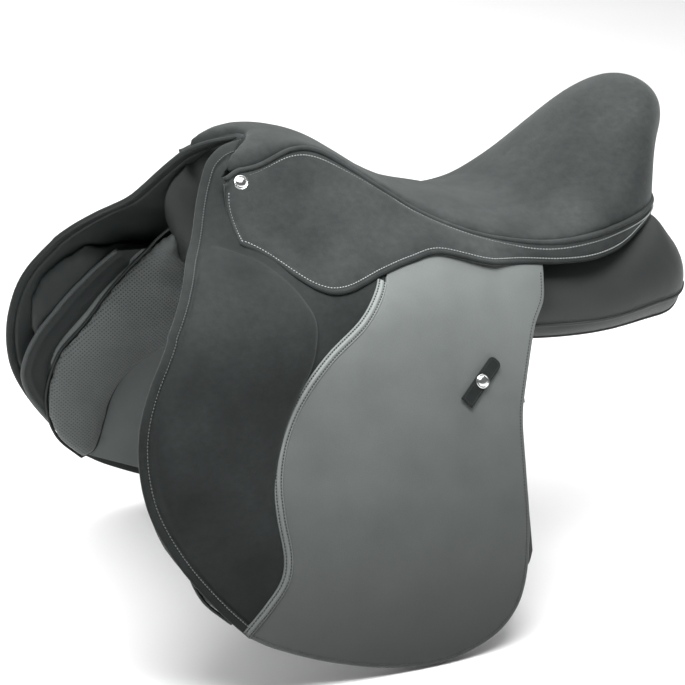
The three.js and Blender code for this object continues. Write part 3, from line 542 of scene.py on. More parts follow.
SILVER = metal("silver_polished", (0.86, 0.87, 0.87), 0.16)
STEEL = metal("steel_brushed", (0.56, 0.57, 0.58), 0.32, True)
POLYMER = moulded("polymer_black", (0.018, 0.02, 0.021))
WEBBING = woven("webbing_nylon", (0.03, 0.033, 0.034))
FELT = woven("felt_lining", (0.028, 0.031, 0.031), 0.0011)

# ---------------------------------------------------------------- mesh helpers


def make_object(name, verts, faces, materials, face_materials=None, smooth=True):
    mesh = bpy.data.meshes.new(name)
    mesh.from_pydata((np.asarray(verts, float) * MM).tolist(), [], [tuple(int(i) for i in f) for f in faces])
    for material in materials:
        mesh.materials.append(material)
    if face_materials is not None:
        mesh.polygons.foreach_set("material_index", np.asarray(face_materials, np.int32))
    mesh.polygons.foreach_set("use_smooth", [smooth] * len(mesh.polygons))
    mesh.update()
    made = bpy.data.objects.new(name, mesh)
    bpy.context.scene.collection.objects.link(made)
    return made


def level(offset):
    """A face of a sheet that keeps one offset from the side surface."""
    return lambda x, z, edge: offset + 0 * x


def mirrored(shape, sign):
    """The left shape (verts, faces, face materials), or its mirror image for the right."""
    verts, faces, kinds = shape
    if sign > 0:
        return shape
    return verts * (1, -1, 1), [tuple(f)[::-1] for f in faces], kinds


def merge(*shapes):
    verts, faces, kinds, start = [], [], [], 0
    for v, f, k in shapes:
        verts.append(v)
        faces += [tuple(i + start for i in face) for face in f]
        kinds += list(k) if k is not None else [0] * len(f)
        start += len(v)
    return np.vstack(verts), faces, kinds


def bend_line(middle, axis, towards, above, below):
    """Start and end of the bend beside a joint's axis, square to it."""
    axis = unit(axis)
    down = towards - middle
    down = unit(down - axis * (down @ axis))
    return [middle - down * above, middle + down * below]


def attach(piece, sign, body):
    """Body: a name, in which # stands for the side, for a body to ride on; for a tuple such as (a, b, [start,
    end]) the piece only gets its transform baked, and the tuple is not used.
    """
    side = "left" if sign > 0 else "right"
    if isinstance(body, str):
        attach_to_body(piece, body.replace("#", side))
        return
    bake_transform(piece)


def add_piece(name, shape, materials, sign, body, replaces=()):
    verts, faces, kinds = shape
    piece = make_object(name, verts, faces, materials, kinds)
    attach(piece, sign, body)
    if replaces:
        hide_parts(*replaces)


def both_sides(name, shape, materials, body, replaces=()):
    """The left piece and its mirror image on the right."""
    for side, sign in SIDES.items():
        nodes = [f"{node}_{side}" for node in replaces]
        add_piece(f"{name}_{side}", mirrored(shape, sign), materials, sign, body, nodes)


def inset(polygon, distance):
    """The closed outline moved inwards; points that come too near another stretch are dropped."""
    before, after = np.roll(polygon, 1, axis=0), np.roll(polygon, -1, axis=0)
    tangent = unit(after - before)
    area = ((polygon[:, 0] * after[:, 1]) - (after[:, 0] * polygon[:, 1])).sum()
    normal = np.stack([-tangent[:, 1], tangent[:, 0]], 1) * (1 if area > 0 else -1)
    moved = polygon + normal * distance
    return moved[distance_to(polygon, moved, True) > distance * 0.93]


def shifted(line, distance):
    """An open 2-D line moved to its left."""
    tangent = unit(np.gradient(line, axis=0))
    return line + np.stack([-tangent[:, 1], tangent[:, 0]], 1) * distance


def rounding(distance, radius):
    """How far a rounded edge falls away at a distance from the edge."""
    t = np.clip(1 - distance / radius, 0, 1)
    return radius * (1 - np.sqrt(np.maximum(1 - t**2, 0)))


def sheet_shape(outline, outer, inner, radius=1.6, spacing=5.0, point=side_point, holes=(), extra=None):
    """A sheet on the side surface; outer and inner give its faces' offsets at x, z, distance to the edge."""
    rings = [outline] + [inset(outline, radius * k) for k in (0.12, 0.35, 0.7, 1.1)]
    low, high = outline.min(0), outline.max(0)
    gx, gz = np.meshgrid(np.arange(low[0], high[0], spacing), np.arange(low[1], high[1], spacing * 0.87))
    gx = gx + (np.arange(gx.shape[0]) % 2)[:, None] * spacing / 2
    grid = np.stack([gx.ravel(), gz.ravel()], 1)
    free = grid
    if extra is not None:
        free = np.vstack([extra, grid[distance_to_points(extra, grid) > spacing * 0.5]])
    free = free[inside(outline, free)]
    free = free[distance_to(outline, free, True) > radius * 1.1 + 1.2]
    rings = rings[:1] + [r[inside(outline, r)] for r in rings[1:]]
    for hole in holes:
        free = free[~inside(hole, free)]
        free = free[distance_to(hole, free, True) > 1.0]
    points = np.vstack([*rings, *holes, free])
    edges = ring_edges(0, len(outline))
    start = sum(len(r) for r in rings)
    for hole in holes:
        edges += ring_edges(start, len(hole))
        start += len(hole)
    found = delaunay_2d_cdt([Vector(p) for p in points], edges, [], 0, 1e-4)
    flat = np.array([tuple(p) for p in found[0]])
    triangles = np.array([f for f in found[2] if len(f) == 3])
    centres = flat[triangles].mean(1)
    keep = inside(outline, centres)
    for hole in holes:
        keep &= ~inside(hole, centres)
    triangles = triangles[keep]
    a, b, c = (flat[triangles[:, k]] for k in range(3))
    turn = (b[:, 0] - a[:, 0]) * (c[:, 1] - a[:, 1]) - (b[:, 1] - a[:, 1]) * (c[:, 0] - a[:, 0])
    solid = np.abs(turn) > 1e-6
    triangles = triangles[solid]
    flip = turn[solid] < 0
    triangles[flip] = triangles[flip][:, ::-1]
    used = np.unique(triangles)
    index = np.full(len(flat), -1)
    index[used] = np.arange(len(used))
    flat, triangles = flat[used], index[triangles]
    edge = distance_to(outline, flat, True)
    for hole in holes:
        edge = np.minimum(edge, distance_to(hole, flat, True) + radius * 0.6)
    x, z = flat.T
    fall = rounding(edge, radius)
    verts = np.vstack([point(x, z, outer(x, z, edge) - fall), point(x, z, inner(x, z, edge) + fall * 0.9)])
    return verts, *close_sheet([tuple(t) for t in triangles], len(flat))


def ring_edges(start, count):
    return [(start + i, start + (i + 1) % count) for i in range(count)]


def distance_to_points(points, queries):
    best = np.full(len(queries), 1e9)
    for k in range(0, len(queries), 1000):
        d = np.linalg.norm(queries[k:k + 1000, None] - points[None], axis=-1)
        best[k:k + 1000] = d.min(1)
    return best


def close_sheet(outer, count):
    """Faces of a closed sheet: the outer ones, the same ones turned round, and the rim between them."""
    seen = {edge: True for face in outer for edge in zip(face, face[1:] + face[:1])}
    rim = [(a, b) for a, b in seen if (b, a) not in seen]
    faces = outer + [tuple(i + count for i in face[::-1]) for face in outer]
    faces += [(b, a, a + count, b + count) for a, b in rim]
    return faces, [0] * len(outer) + [1] * len(outer) + [0] * len(rim)


def grid_shape(points, thick=None, inwards=None, closed_u=False):
    """A grid of points [u, v, 3] as a surface; with thick it becomes a closed sheet along inwards."""
    nu, nv = points.shape[:2]
    index = np.arange(nu * nv).reshape(nu, nv)
    quads = []
    for i in range(nu if closed_u else nu - 1):
        j = (i + 1) % nu
        for k in range(nv - 1):
            quads.append((index[i, k], index[j, k], index[j, k + 1], index[i, k + 1]))
    verts = points.reshape(-1, 3)
    if thick is None:
        return verts, quads, [0] * len(quads)
    return np.vstack([verts, verts + (inwards * thick).reshape(-1, 3)]), *close_sheet(quads, nu * nv)


def tube_shape(path, radius, normals, sides=10, flatten=1.0):
    """A tube along path; normals say which way its section's height points."""
    tangent = unit(np.gradient(path, axis=0))
    across = unit(np.cross(tangent, normals))
    up = np.cross(across, tangent)
    angle = np.arange(sides) * 2 * np.pi / sides
    rings = (path[:, None] + radius * (np.cos(angle)[None, :, None] * across[:, None]
             + flatten * np.sin(angle)[None, :, None] * up[:, None]))
    n = len(path)
    index = np.arange(n * sides).reshape(n, sides)
    faces = []
    for i in range(n - 1):
        for k in range(sides):
            m = (k + 1) % sides
            faces.append((index[i, k], index[i, m], index[i + 1, m], index[i + 1, k]))
    faces += [tuple(index[0][::-1]), tuple(index[-1])]
    return rings.reshape(-1, 3), faces, [0] * len(faces)


def stitch_shape(path, normals, pitch, length, radius):
    """Separate sewn stitches lying along a line on a surface."""
    step = np.concatenate([[0], np.cumsum(np.linalg.norm(np.diff(path, axis=0), axis=1))])
    at = np.arange(pitch / 2, step[-1], pitch)
    centre = np.stack([np.interp(at, step, path[:, k]) for k in range(3)], 1)
    normal = unit(np.stack([np.interp(at, step, normals[:, k]) for k in range(3)], 1))
    along_path = unit(np.gradient(path, axis=0))
    tangent = np.stack([np.interp(at, step, along_path[:, k]) for k in range(3)], 1)
    tangent = unit(tangent - normal * (tangent * normal).sum(1, keepdims=True))
    across = np.cross(tangent, normal)
    stations = ((-0.5, 0.35, -0.35), (-0.28, 1.0, 0.25), (0.28, 1.0, 0.25), (0.5, 0.35, -0.35))
    sides = 6
    angle = np.arange(sides) * 2 * np.pi / sides
    rings = []
    for along, size, lift in stations:
        ring = (centre + tangent * along * length + normal * lift * radius)[:, None]
        ring = ring + radius * size * (np.cos(angle)[None, :, None] * across[:, None]
                                       + 0.8 * np.sin(angle)[None, :, None] * normal[:, None])
        rings.append(ring)
    verts = np.stack(rings, 1).reshape(-1, 3)
    faces = []
    for s in range(len(centre)):
        base = s * sides * len(stations)
        for r in range(len(stations) - 1):
            for k in range(sides):
                m = (k + 1) % sides
                a, b = base + r * sides, base + (r + 1) * sides
                faces.append((a + k, b + k, b + m, a + m))
        faces.append(tuple(base + k for k in range(sides)))
        faces.append(tuple(base + (len(stations) - 1) * sides + k for k in reversed(range(sides))))
    return verts, faces, [0] * len(faces)


def surface_normals(x, z, point=side_point):
    return point(x, z, 1.0) - point(x, z, 0.0)


def side_stitches(line, offset, pitch, length, radius):
    """Stitches along a line of x and z on the side surface."""
    return stitch_shape(side_point(*line.T, offset), surface_normals(*line.T), pitch, length, radius)


def closed_line(points, step):
    return resample(np.vstack([points, points[:1]]), step)


def inflate(shape, voxel, cap, pinned=None, pressure=4.0):
    """Cloth simulation of a closed padded piece in millimetres: remesh, blow up, cap the movement, smooth."""
    verts, faces, _ = shape
    work = make_object("inflating", verts, faces, [])
    remesh = work.modifiers.new("remesh", "REMESH")
    remesh.mode = "VOXEL"
    remesh.voxel_size = voxel * MM
    apply_modifiers(work)
    start = vertex_array(work)
    group = work.vertex_groups.new(name="pin")
    if pinned is not None:
        for i, weight in enumerate(pinned(start / MM)):
            group.add([i], float(weight), "REPLACE")
    cloth = work.modifiers.new("cloth", "CLOTH")
    settings = cloth.settings
    settings.quality = 5
    settings.mass = 0.3
    settings.tension_stiffness = settings.compression_stiffness = 18
    settings.shear_stiffness = 8
    settings.bending_stiffness = 0.6
    settings.use_pressure = True
    settings.uniform_pressure_force = pressure
    settings.effector_weights.gravity = 0
    settings.vertex_group_mass = "pin"
    scene = bpy.context.scene
    scene.frame_start, scene.frame_end = 1, 20
    cloth.point_cache.frame_start, cloth.point_cache.frame_end = 1, 20
    for number in range(1, 21):
        scene.frame_set(number)
    depsgraph = bpy.context.evaluated_depsgraph_get()
    moved = vertex_array(work.evaluated_get(depsgraph))
    work.modifiers.remove(cloth)
    scene.frame_set(1)
    step = moved - start
    length = np.linalg.norm(step, axis=1, keepdims=True)
    start = start + step * np.minimum(1, cap * MM / np.maximum(length, 1e-9))
    work.data.vertices.foreach_set("co", start.astype(np.float32).ravel())
    work.data.update()
    smooth = work.modifiers.new("smooth", "SMOOTH")
    smooth.factor = 0.5
    smooth.iterations = 6
    divide = work.modifiers.new("divide", "SUBSURF")
    divide.levels = divide.render_levels = 1
    apply_modifiers(work)
    verts = vertex_array(work) / MM
    faces = [tuple(p.vertices) for p in work.data.polygons]
    bpy.data.objects.remove(work)
    return verts, faces, None


def drape(path, shape, lift=0.0):
    """A line laid on the nearest points of a shape, with the surface's normals along it."""
    tree = BVHTree.FromPolygons([tuple(v) for v in shape[0]], shape[1])
    hits = [tree.find_nearest(Vector(p)) for p in path]
    place = np.array([tuple(hit[0]) for hit in hits])
    normal = np.array([tuple(hit[1]) for hit in hits])
    for _ in range(3):
        normal[1:-1] = (normal[:-2] + normal[1:-1] * 2 + normal[2:]) / 4
        place[1:-1] = (place[:-2] + place[1:-1] * 2 + place[2:]) / 4
    normal = unit(normal)
    return place + normal * lift, normal


def vertex_array(thing):
    co = np.zeros(len(thing.data.vertices) * 3, np.float32)
    thing.data.vertices.foreach_get("co", co)
    return co.reshape(-1, 3).astype(float)


def apply_modifiers(thing):
    depsgraph = bpy.context.evaluated_depsgraph_get()
    mesh = bpy.data.meshes.new_from_object(thing.evaluated_get(depsgraph))
    thing.modifiers.clear()
    thing.data = mesh

# ---------------------------------------------------------------- flaps


FLAP_HINGE = np.array((-129.0, -156.35, 80.0))
FLAP_BODY = ("saddle", "flap_#", bend_line(
    FLAP_HINGE, side_point(-321, 80) - side_point(63, 80), side_point(-129, 60), 12, 14))
front_line = spline(HEAD_EDGE + FRONT_EDGE)
seam_line = spline(SEAM)
bottom_line = spline(BOTTOM_EDGE)
knee_outline = loop(KNEE_ROLL + KNEE_ROLL[:1])
BINDING_WIDTH = 9.0
ROLL_HEIGHT = 13.0


def knee_rise(x, z):
    p = np.stack([x, z], 1)
    within = distance_to(knee_outline, p, True) * np.where(inside(knee_outline, p), 1, -1)
    t = np.clip(within / 20, 0, 1)
    shoulder = np.sqrt(np.maximum(1 - (1 - t)**2, 0)) * 0.75 + smoothstep(0, 55, within) * 0.25
    lead = smoothstep(2, 26, distance_to(front_line, p))
    return ROLL_HEIGHT * shoulder * smoothstep(-125, 25, z) * lead * (1 - 0.35 * smoothstep(60, 110, z))


def suede_face(x, z, edge):
    p = np.stack([x, z], 1)
    to_seam, to_front = distance_to(seam_line, p), distance_to(front_line, p)
    groove = np.exp(-((to_front - BINDING_WIDTH) / 1.1)**2) * 1.1
    binding = 0.7 * (1 - smoothstep(BINDING_WIDTH - 1.5, BINDING_WIDTH, to_front))
    return knee_rise(x, z) - 1.3 * (1 - smoothstep(2, 10, to_seam)) - groove + binding


def suede_back(x, z, edge):
    to_front = distance_to(front_line, np.stack([x, z], 1))
    return -FLAP_THICK + 1.0 * np.exp(-((to_front - BINDING_WIDTH) / 1.1)**2)


suede_outline = loop(HEAD_EDGE + FRONT_EDGE, SEAM[::-1], [SEAM[0], (-100, 113)],
                     [(-100, 113), (-140, 114), (-186, 114)], HEAD_BACK)
details = np.vstack([shifted(front_line, d) for d in (7.0, 8.0, 8.6, 9.2, 9.8, 10.6, 12.0)]
                    + [shifted(knee_outline, d) for d in (-2.0, 0.0, 2.0, 4.0, 6.5, 9.0)])
suede_shape = sheet_shape(suede_outline, suede_face, suede_back, 2.2, 4.5, extra=details)
# the flap's suede face takes the darker copy of the seat's suede, its darkness painted shade
both_sides("flap_suede", suede_shape, [SUEDE_FLAP_SHADED, LINING], FLAP_BODY, ("flap_head", "flap_front"))

leather_outline = loop(SEAM, BOTTOM_EDGE, [(63, 80), (66, 94)],
                       [(66, 94), (40, 99), (0, 105), (-36, 110), (-84, 110), SEAM[0]])
leather_shape = sheet_shape(leather_outline, lambda x, z, d: -0.5 * np.exp(-((d - 3.6) / 0.8)**2),
                            level(-FLAP_THICK), 1.8, 7.0)
both_sides("flap_leather", leather_shape, [LEATHER, LINING], FLAP_BODY, ("flap_rear",))

# the raised band along the seam, with a row of stitches on each side
SEAM_BAND = 4.3
band_line = shifted(seam_line, -SEAM_BAND + 0.6)[4:]
band_section = [
    (4.4, -1.2), (4.3, 0.4), (3.9, 1.15), (3.3, 1.3), (2.5, 0.6), (1.7, 1.25), (0.9, 2.1), (0, 2.3),
    (-0.9, 2.1), (-1.7, 1.25), (-2.5, 0.6), (-3.3, 1.3), (-3.9, 1.1), (-4.3, 0.4), (-4.4, -0.4)]
band = np.stack([side_point(*shifted(band_line, d).T, h) for d, h in band_section], 1)[:, ::-1]
both_sides("flap_seam_band", grid_shape(band, 0.8, np.broadcast_to([0, 1.0, 0], band.shape)), [BAND, LINING],
           FLAP_BODY)
seam_rows = [side_stitches(shifted(band_line, d), 0.85, 2.9, 1.9, 0.72) for d in (2.5, -2.5)]
both_sides("flap_seam_stitches", merge(*seam_rows), [THREAD_DARK], FLAP_BODY)
edge_stitches = side_stitches(shifted(bottom_line, 3.6), -0.1, 3.0, 2.0, 0.55)
both_sides("flap_edge_stitches", edge_stitches, [THREAD_DARK], FLAP_BODY)
binding_stitches = side_stitches(shifted(front_line, BINDING_WIDTH - 2.0), 0.95, 3.0, 2.0, 0.5)
both_sides("flap_binding_stitches", binding_stitches, [THREAD_MID], FLAP_BODY)

# ---------------------------------------------------------------- sweat flaps and the pads inside


sweat_front = spline(SWEAT_FRONT)
sweat_outline = loop([(50, 76), (-262, 77)], SWEAT_FRONT, SWEAT_BOTTOM)
sweat_crease = shifted(sweat_front, 27.0)
sweat_shape = sheet_shape(
    sweat_outline, level(SWEAT_FACE),
    lambda x, z, d: SWEAT_FACE - SWEAT_THICK - 0.6 * np.exp(-((d - 8) / 1.2)**2)
    + 0.8 * np.exp(-(distance_to(sweat_crease, np.stack([x, z], 1)) / 1.2)**2),
    1.1, 9.0, extra=np.vstack([shifted(sweat_front, d) for d in (6.5, 8, 9.5, 25.6, 27, 28.4)]))
verts, faces, kinds = sweat_shape
centres = np.array([verts[list(f)].mean(0)[[0, 2]] for f in faces])
near_front = (distance_to(sweat_front, centres) < 27) & (centres[:, 1] > -140)
kinds = np.where(near_front | (np.array(kinds) == 0), 0, 1)
both_sides("sweat_leather", (verts, faces, kinds), [LINING, SWEAT], "saddle", ("sweat_flap",))
binding_path = side_point(*sweat_front.T, SWEAT_FACE - SWEAT_THICK / 2)
sweat_binding = tube_shape(binding_path, 2.6, surface_normals(*sweat_front.T), 10, 0.8)
both_sides("sweat_binding", sweat_binding, [BINDING], "saddle")
sweat_rows = [side_stitches(shifted(line, 4.4), SWEAT_FACE + 0.15, 3.0, 2.0, 0.4)
              for line in (sweat_front, spline(SWEAT_BOTTOM))]
both_sides("sweat_stitches", merge(*sweat_rows), [THREAD], "saddle")

PAD_TOP = [(-190, 67), (-198, 78), (-204, 96), (-209, 110), (-219, 118)]
pad_outline = loop([(-80, -36), (-80, 62)], [(-80, 62), (-190, 67)], PAD_TOP, PAD_FRONT, PAD_BACK_EDGE)


def pad_back(x, z, edge):
    return PAD_FACE - 1.5 - (PAD_FACE - 1.5 - PAD_BACK - 2.5) * np.sqrt(np.maximum(
        1 - (1 - np.clip(edge / 17, 0, 1))**2, 0))


pad_shape = sheet_shape(pad_outline, level(PAD_FACE), pad_back, 1.2, 6.0)
pad_soft = inflate(pad_shape, 4.5, 5, lambda p: (p[:, 1] < -half_width(p[:, 0], p[:, 2]) + 27) * 1.0)
both_sides("knee_cushion", pad_soft, [PERFORATED], "saddle", ("knee_pad",))
pad_edge = np.vstack([spline(PAD_FRONT), spline(PAD_BACK_EDGE)[1:]])
pad_piping = tube_shape(side_point(*pad_edge.T, PAD_FACE - 1.2), 1.7, surface_normals(*pad_edge.T), 8)
both_sides("knee_piping", pad_piping, [LINING], "saddle")

# ---------------------------------------------------------------- seat


def seat_shape(depth, rows=64, columns=36):
    s = np.linspace(0, 1, rows)
    t = np.sin(np.linspace(-1, 1, columns) * np.pi / 2)
    top = seat_point(s[:, None], t[None, :], depth)
    corner = smoothstep(0.05, 0, s)[:, None] * np.abs(t)[None, :]**3
    top[:, :, 1] *= 1 - 0.03 * corner
    top[:, :, 2] -= 7 * corner
    low = top.copy()
    rim_z = seat_station(s, 4)[:, None] - 7
    low[:, :, 2] = np.minimum(rim_z, top[:, :, 2] - 1.5)
    low[:, :, 1] *= 0.97
    verts, faces, _ = grid_shape(top)
    return np.vstack([verts, low.reshape(-1, 3)]), *close_sheet(faces, len(verts))


def seat_pins(p):
    s = np.interp(p[:, 0], [row[2] for row in SEAT[:14]], np.arange(14) / (len(SEAT) - 1))
    return smoothstep(9, 2, p[:, 2] - seat_station(s, 4))


seat_soft = inflate(seat_shape(-0.5), 5.0, 4, seat_pins, 4.0)


def underside(shape):
    """The same shape with the faces that look down marked as the second look."""
    verts, faces, _ = shape
    kinds = []
    for f in faces:
        a, b, c = verts[f[0]], verts[f[1]], verts[f[2]]
        down = unit(np.cross(b - a, c - a))[2] < -0.75
        kinds.append(int(down and a[2] < 125 + 0.25 * max(-a[0] - 60, 0)))
    return verts, faces, kinds


add_piece("seat_cushion", underside(seat_soft), [SUEDE, FELT], 1, "saddle",
          ("seat_cover", "seat_foam"))

# ---------------------------------------------------------------- skirts and welt

SKIRT_STATIONS = np.concatenate([[0, 0.0008, 0.002, 0.0035, 0.006], np.linspace(0.01, 0.985, 170)])
SKIRT_ROWS = np.concatenate([[0], np.linspace(0.05, 0.9, 16), [0.93, 0.955, 0.972, 0.985, 0.993, 0.998, 1]])


def skirt_point(s, v, lift):
    """Points and normals of the skirt's outer face, v from welt to lower edge; with no lift, points alone."""
    s, v = np.asarray(s, float), np.asarray(v, float)
    top, low = welt_point(s), skirt_edge_point(s)
    top = top + (low - top) * (0.22 * smoothstep(0.03, 0, s))[..., None]
    middle = hinge_point(np.minimum(s, SKIRT_REAR))
    above, below = np.linalg.norm(middle - top, axis=-1), np.linalg.norm(low - middle, axis=-1)
    lean = np.clip(above / np.maximum(above + below, 1e-6), 0.2, 0.8)
    straight = top + (low - top) * lean[..., None]
    fold = (middle - straight) * smoothstep(SKIRT_REAR + 0.05, SKIRT_REAR - 0.12, s)[..., None]
    hump = 1 / (2 * lean * (1 - lean))
    base = top + (low - top) * v[..., None] + fold * (hump * 2 * v * (1 - v))[..., None] * 0.9
    if lift is None:
        return base
    ds = 0.004
    along = skirt_point(np.minimum(s + ds, 1), v, None) - skirt_point(np.maximum(s - ds, 0), v, None)
    down = skirt_point(s, np.minimum(v + ds, 1), None) - skirt_point(s, np.maximum(v - ds, 0), None)
    normal = unit(np.cross(down, along))
    drop = 2.5 * (v**3 * smoothstep(SKIRT_REAR + 0.1, SKIRT_REAR - 0.08, s))[..., None]
    return base + normal * (np.asarray(lift, float)[..., None] - drop), normal


def skirt_surface():
    s, v = np.meshgrid(SKIRT_STATIONS, SKIRT_ROWS, indexing="ij")
    height = np.linalg.norm(skirt_edge_point(s) - welt_point(s), axis=-1)
    to_low = height * (1 - v)
    to_front = np.clip(s / 0.06, 0, 1) * 30
    puff = 2.6 * smoothstep(0, 18, to_low) * smoothstep(0, 16, height * v) * smoothstep(0, 14, to_front)
    edge = rounding(np.minimum(to_low, to_front), 1.7)
    dent = 0.5 * np.exp(-((to_low - 4.2) / 0.9)**2) + 0.4 * np.exp(-((height * v - 7.5) / 0.9)**2)
    return skirt_point(s, v, puff - edge - dent)


points, normal = skirt_surface()
hinge_middle = (SKIRT_HINGE[0] + SKIRT_HINGE[1]) / 2
SKIRT_BODY = ("saddle", "skirt_#", bend_line(
    hinge_middle, SKIRT_HINGE[1] - SKIRT_HINGE[0], skirt_edge_point(0.16), 6, 12))
both_sides("skirt_cover", grid_shape(points[:, ::-1], SKIRT_THICK - 0.4, -normal[:, ::-1]), [SUEDE, LINING],
           SKIRT_BODY, ("skirt_band", "skirt"))


def skirt_line(s, lift, distance_low=None, distance_top=None):
    """A line at one distance from the skirt's lower edge or from the welt."""
    height = np.linalg.norm(skirt_edge_point(s) - welt_point(s), axis=-1)
    v = 1 - distance_low / height if distance_low is not None else distance_top / height
    return skirt_point(s, np.clip(v, 0, 1), np.full(len(s), lift))


s_line = np.linspace(0.012, 0.97, 400)
low_row = skirt_line(s_line, 0.55, distance_low=4.2)
top_row = skirt_line(np.linspace(0.05, 0.97, 400), 1.0, distance_top=9.0)
v_line = np.linspace(0.16, 0.97, 60)
front_row = skirt_point(np.full(60, 0.0085), v_line, np.full(60, 0.1))
skirt_rows = [stitch_shape(*row, 2.9, 1.9, 0.55) for row in (low_row, top_row, front_row)]
both_sides("skirt_stitches", merge(*skirt_rows), [THREAD], SKIRT_BODY)
edge_points, edge_normal = skirt_point(np.linspace(0, 0.985, 300), np.ones(300), np.full(300, -1.9))
both_sides("skirt_edge_bead", tube_shape(edge_points, 1.4, edge_normal, 8), [SUEDE_DARK], SKIRT_BODY)

s_line = np.linspace(0, 1, 140)
welt_half = welt_point(s_line)
welt_down = unit(skirt_edge_point(s_line) - welt_half)
welt_half = welt_half + welt_down * 2.6
welt_half += welt_down * 7 * smoothstep(0.03, 0, s_line)[:, None]
welt_path = resample(np.vstack([welt_half, welt_half[:-1][::-1] * (1, -1, 1)]), 3.0)
outwards = unit(welt_path * (0.25, 1, 0))
welt_shape = tube_shape(welt_path, 2.4, outwards, 12)
add_piece("seat_piping", welt_shape, [SUEDE], 1, "saddle", ("seat_welt",))

# ---------------------------------------------------------------- studs and keepers


def placed(shape, origin, right, out):
    """A shape in its own frame (x right, z out) moved to the saddle."""
    verts, faces, kinds = shape
    basis = np.stack([right, np.cross(out, right), out])
    return origin + verts @ basis, faces, kinds


def lathe_shape(profile, sides=40):
    profile = np.asarray(profile, float)
    angle = np.arange(sides) * 2 * np.pi / sides
    reach, height = profile.T
    points = np.stack([reach * np.cos(angle)[:, None], reach * np.sin(angle)[:, None],
                       np.broadcast_to(height, (sides, len(profile)))], -1)
    return grid_shape(points, closed_u=True)


def stud_profile(radius, base, height):
    rim = [(radius, base), (radius, base + height * 0.35), (radius - 0.35, base + height * 0.52),
           (radius - 0.9, base + height * 0.58), (radius - 1.45, base + height * 0.5),
           (radius - 1.75, base + height * 0.34)]
    cap = [(r, base + height * (0.3 + 0.68 * math.sqrt(max(1 - (r / (radius - 1.7))**2, 0))))
           for r in np.linspace(radius - 1.9, 0.001, 14)]
    return [(0.001, base)] + rim + cap


STUD_STATION, STUD_DROP, STUD_RADIUS = 0.035, 15, 7
top, low = welt_point(STUD_STATION), hinge_point(STUD_STATION)
along = unit(welt_point(STUD_STATION * 2) - welt_point(0.0))
out = unit(np.cross(low - top, along))
centre = top + unit(low - top) * STUD_DROP
right = unit(along - out * (along @ out))
stud_shape = placed(lathe_shape(stud_profile(STUD_RADIUS, 0.6, 4.2)), centre, right, out)
both_sides("stud_dome", stud_shape, [SILVER], "saddle", ("skirt_stud",))

root, tip = side_point(-45, -17), side_point(-8, 15)
centre, outer = side_point(-26.5, -1.0), side_point(-26.5, -1.0, 1.0)
out = outer - centre
along = unit(tip - root - out * ((tip - root) @ out))
KEEPER_LENGTH, KEEPER_WIDTH, KEEPER_LIFT, KEEPER_THICK, KEEPER_STUD = 52, 14, 1.7, 2.2, 6.8
origin = centre - along * KEEPER_LENGTH / 2


def flat_point(x, z, offset):
    return np.stack([x, z, np.broadcast_to(offset, x.shape)], -1)


half = KEEPER_WIDTH / 2
corner = 5
straight = KEEPER_LENGTH - corner
arc = [(straight + corner * math.sin(a), -half + corner - corner * math.cos(a))
       for a in np.linspace(0, np.pi / 2, 7)]
mirror_arc = [(x, -z) for x, z in arc[::-1]]
keeper_outline = loop([(0, -half), (straight, -half)], arc, [arc[-1], mirror_arc[0]], mirror_arc,
                      [(straight, half), (0, half)], [(0, half), (0, -half)], step=1.5)
strap = sheet_shape(
    keeper_outline, lambda x, z, d: KEEPER_LIFT + KEEPER_THICK + 0 * x - 0.35 * np.exp(-((d - 2.0) / 0.5)**2),
    level(KEEPER_LIFT), 0.9, 3.0, flat_point)
both_sides("keeper_leather", placed(strap, origin, along, out), [SUEDE_DARK, LINING], "keeper_#",
           ("keeper_strap",))
stitch_line = closed_line(inset(keeper_outline, 2.0), 1.0)
lifted = np.column_stack([stitch_line, np.full(len(stitch_line), KEEPER_LIFT + KEEPER_THICK - 0.1)])
keeper_stitches = stitch_shape(lifted, np.broadcast_to([0, 0, 1.0], lifted.shape), 2.4, 1.6, 0.3)
both_sides("keeper_stitches", placed(keeper_stitches, origin, along, out), [THREAD_DARK], "keeper_#")
button = lathe_shape(stud_profile(KEEPER_STUD, 0, 3.2))
button_origin = origin + along * 26 + out * (KEEPER_LIFT + KEEPER_THICK)
both_sides("keeper_button", placed(button, button_origin, along, out), [SILVER], "keeper_#",
           ("keeper_stud",))

# ---------------------------------------------------------------- knee blocks

block_outline = loop([(-192, 72), (-294, 72)], [
    (-294, 72), (-330, 40), (-344, 0), (-334, -42), (-300, -70), (-262, -62), (-232, -20), (-206, 20),
    (-191, 50), (-192, 72)])


def block_back(x, z, edge):
    return -6.6 - 10.4 * np.sqrt(np.maximum(1 - (1 - np.clip(edge / 14, 0, 1))**2, 0))


block_shape = sheet_shape(block_outline, level(-5.4), block_back, 1.2, 6.0)
block_soft = inflate(block_shape, 4.5, 2.5, lambda p: (p[:, 1] < -half_width(p[:, 0], p[:, 2]) + 9.5) * 1.0)
both_sides("knee_block_pad", block_soft, [LINING], "flap_#", ("knee_block",))

# ---------------------------------------------------------------- girth straps

STRAP_CENTRES, STRAP_ENDS, STRAP_TOP, STRAP_BEND = (-74, -36, 2), (-188, -190, -176), 72, -40


def strap_face(x, z):
    return -side_point(x, z, -11.5)[..., 1]


slope_x = (strap_face(14, 20) - strap_face(-86, 20)) / 100
slope_z = (strap_face(-36, STRAP_TOP) - strap_face(-36, STRAP_BEND)) / (STRAP_TOP - STRAP_BEND)


def plane_width(x, z):
    return strap_face(-36, STRAP_TOP) + slope_x * (x + 36) + slope_z * (z - STRAP_TOP)


def strap_width(x, z):
    below = plane_width(x, STRAP_BEND) + strap_face(-36 + 0 * x, z) - strap_face(-36, STRAP_BEND)
    return np.where(z > STRAP_BEND, plane_width(x, z), below)


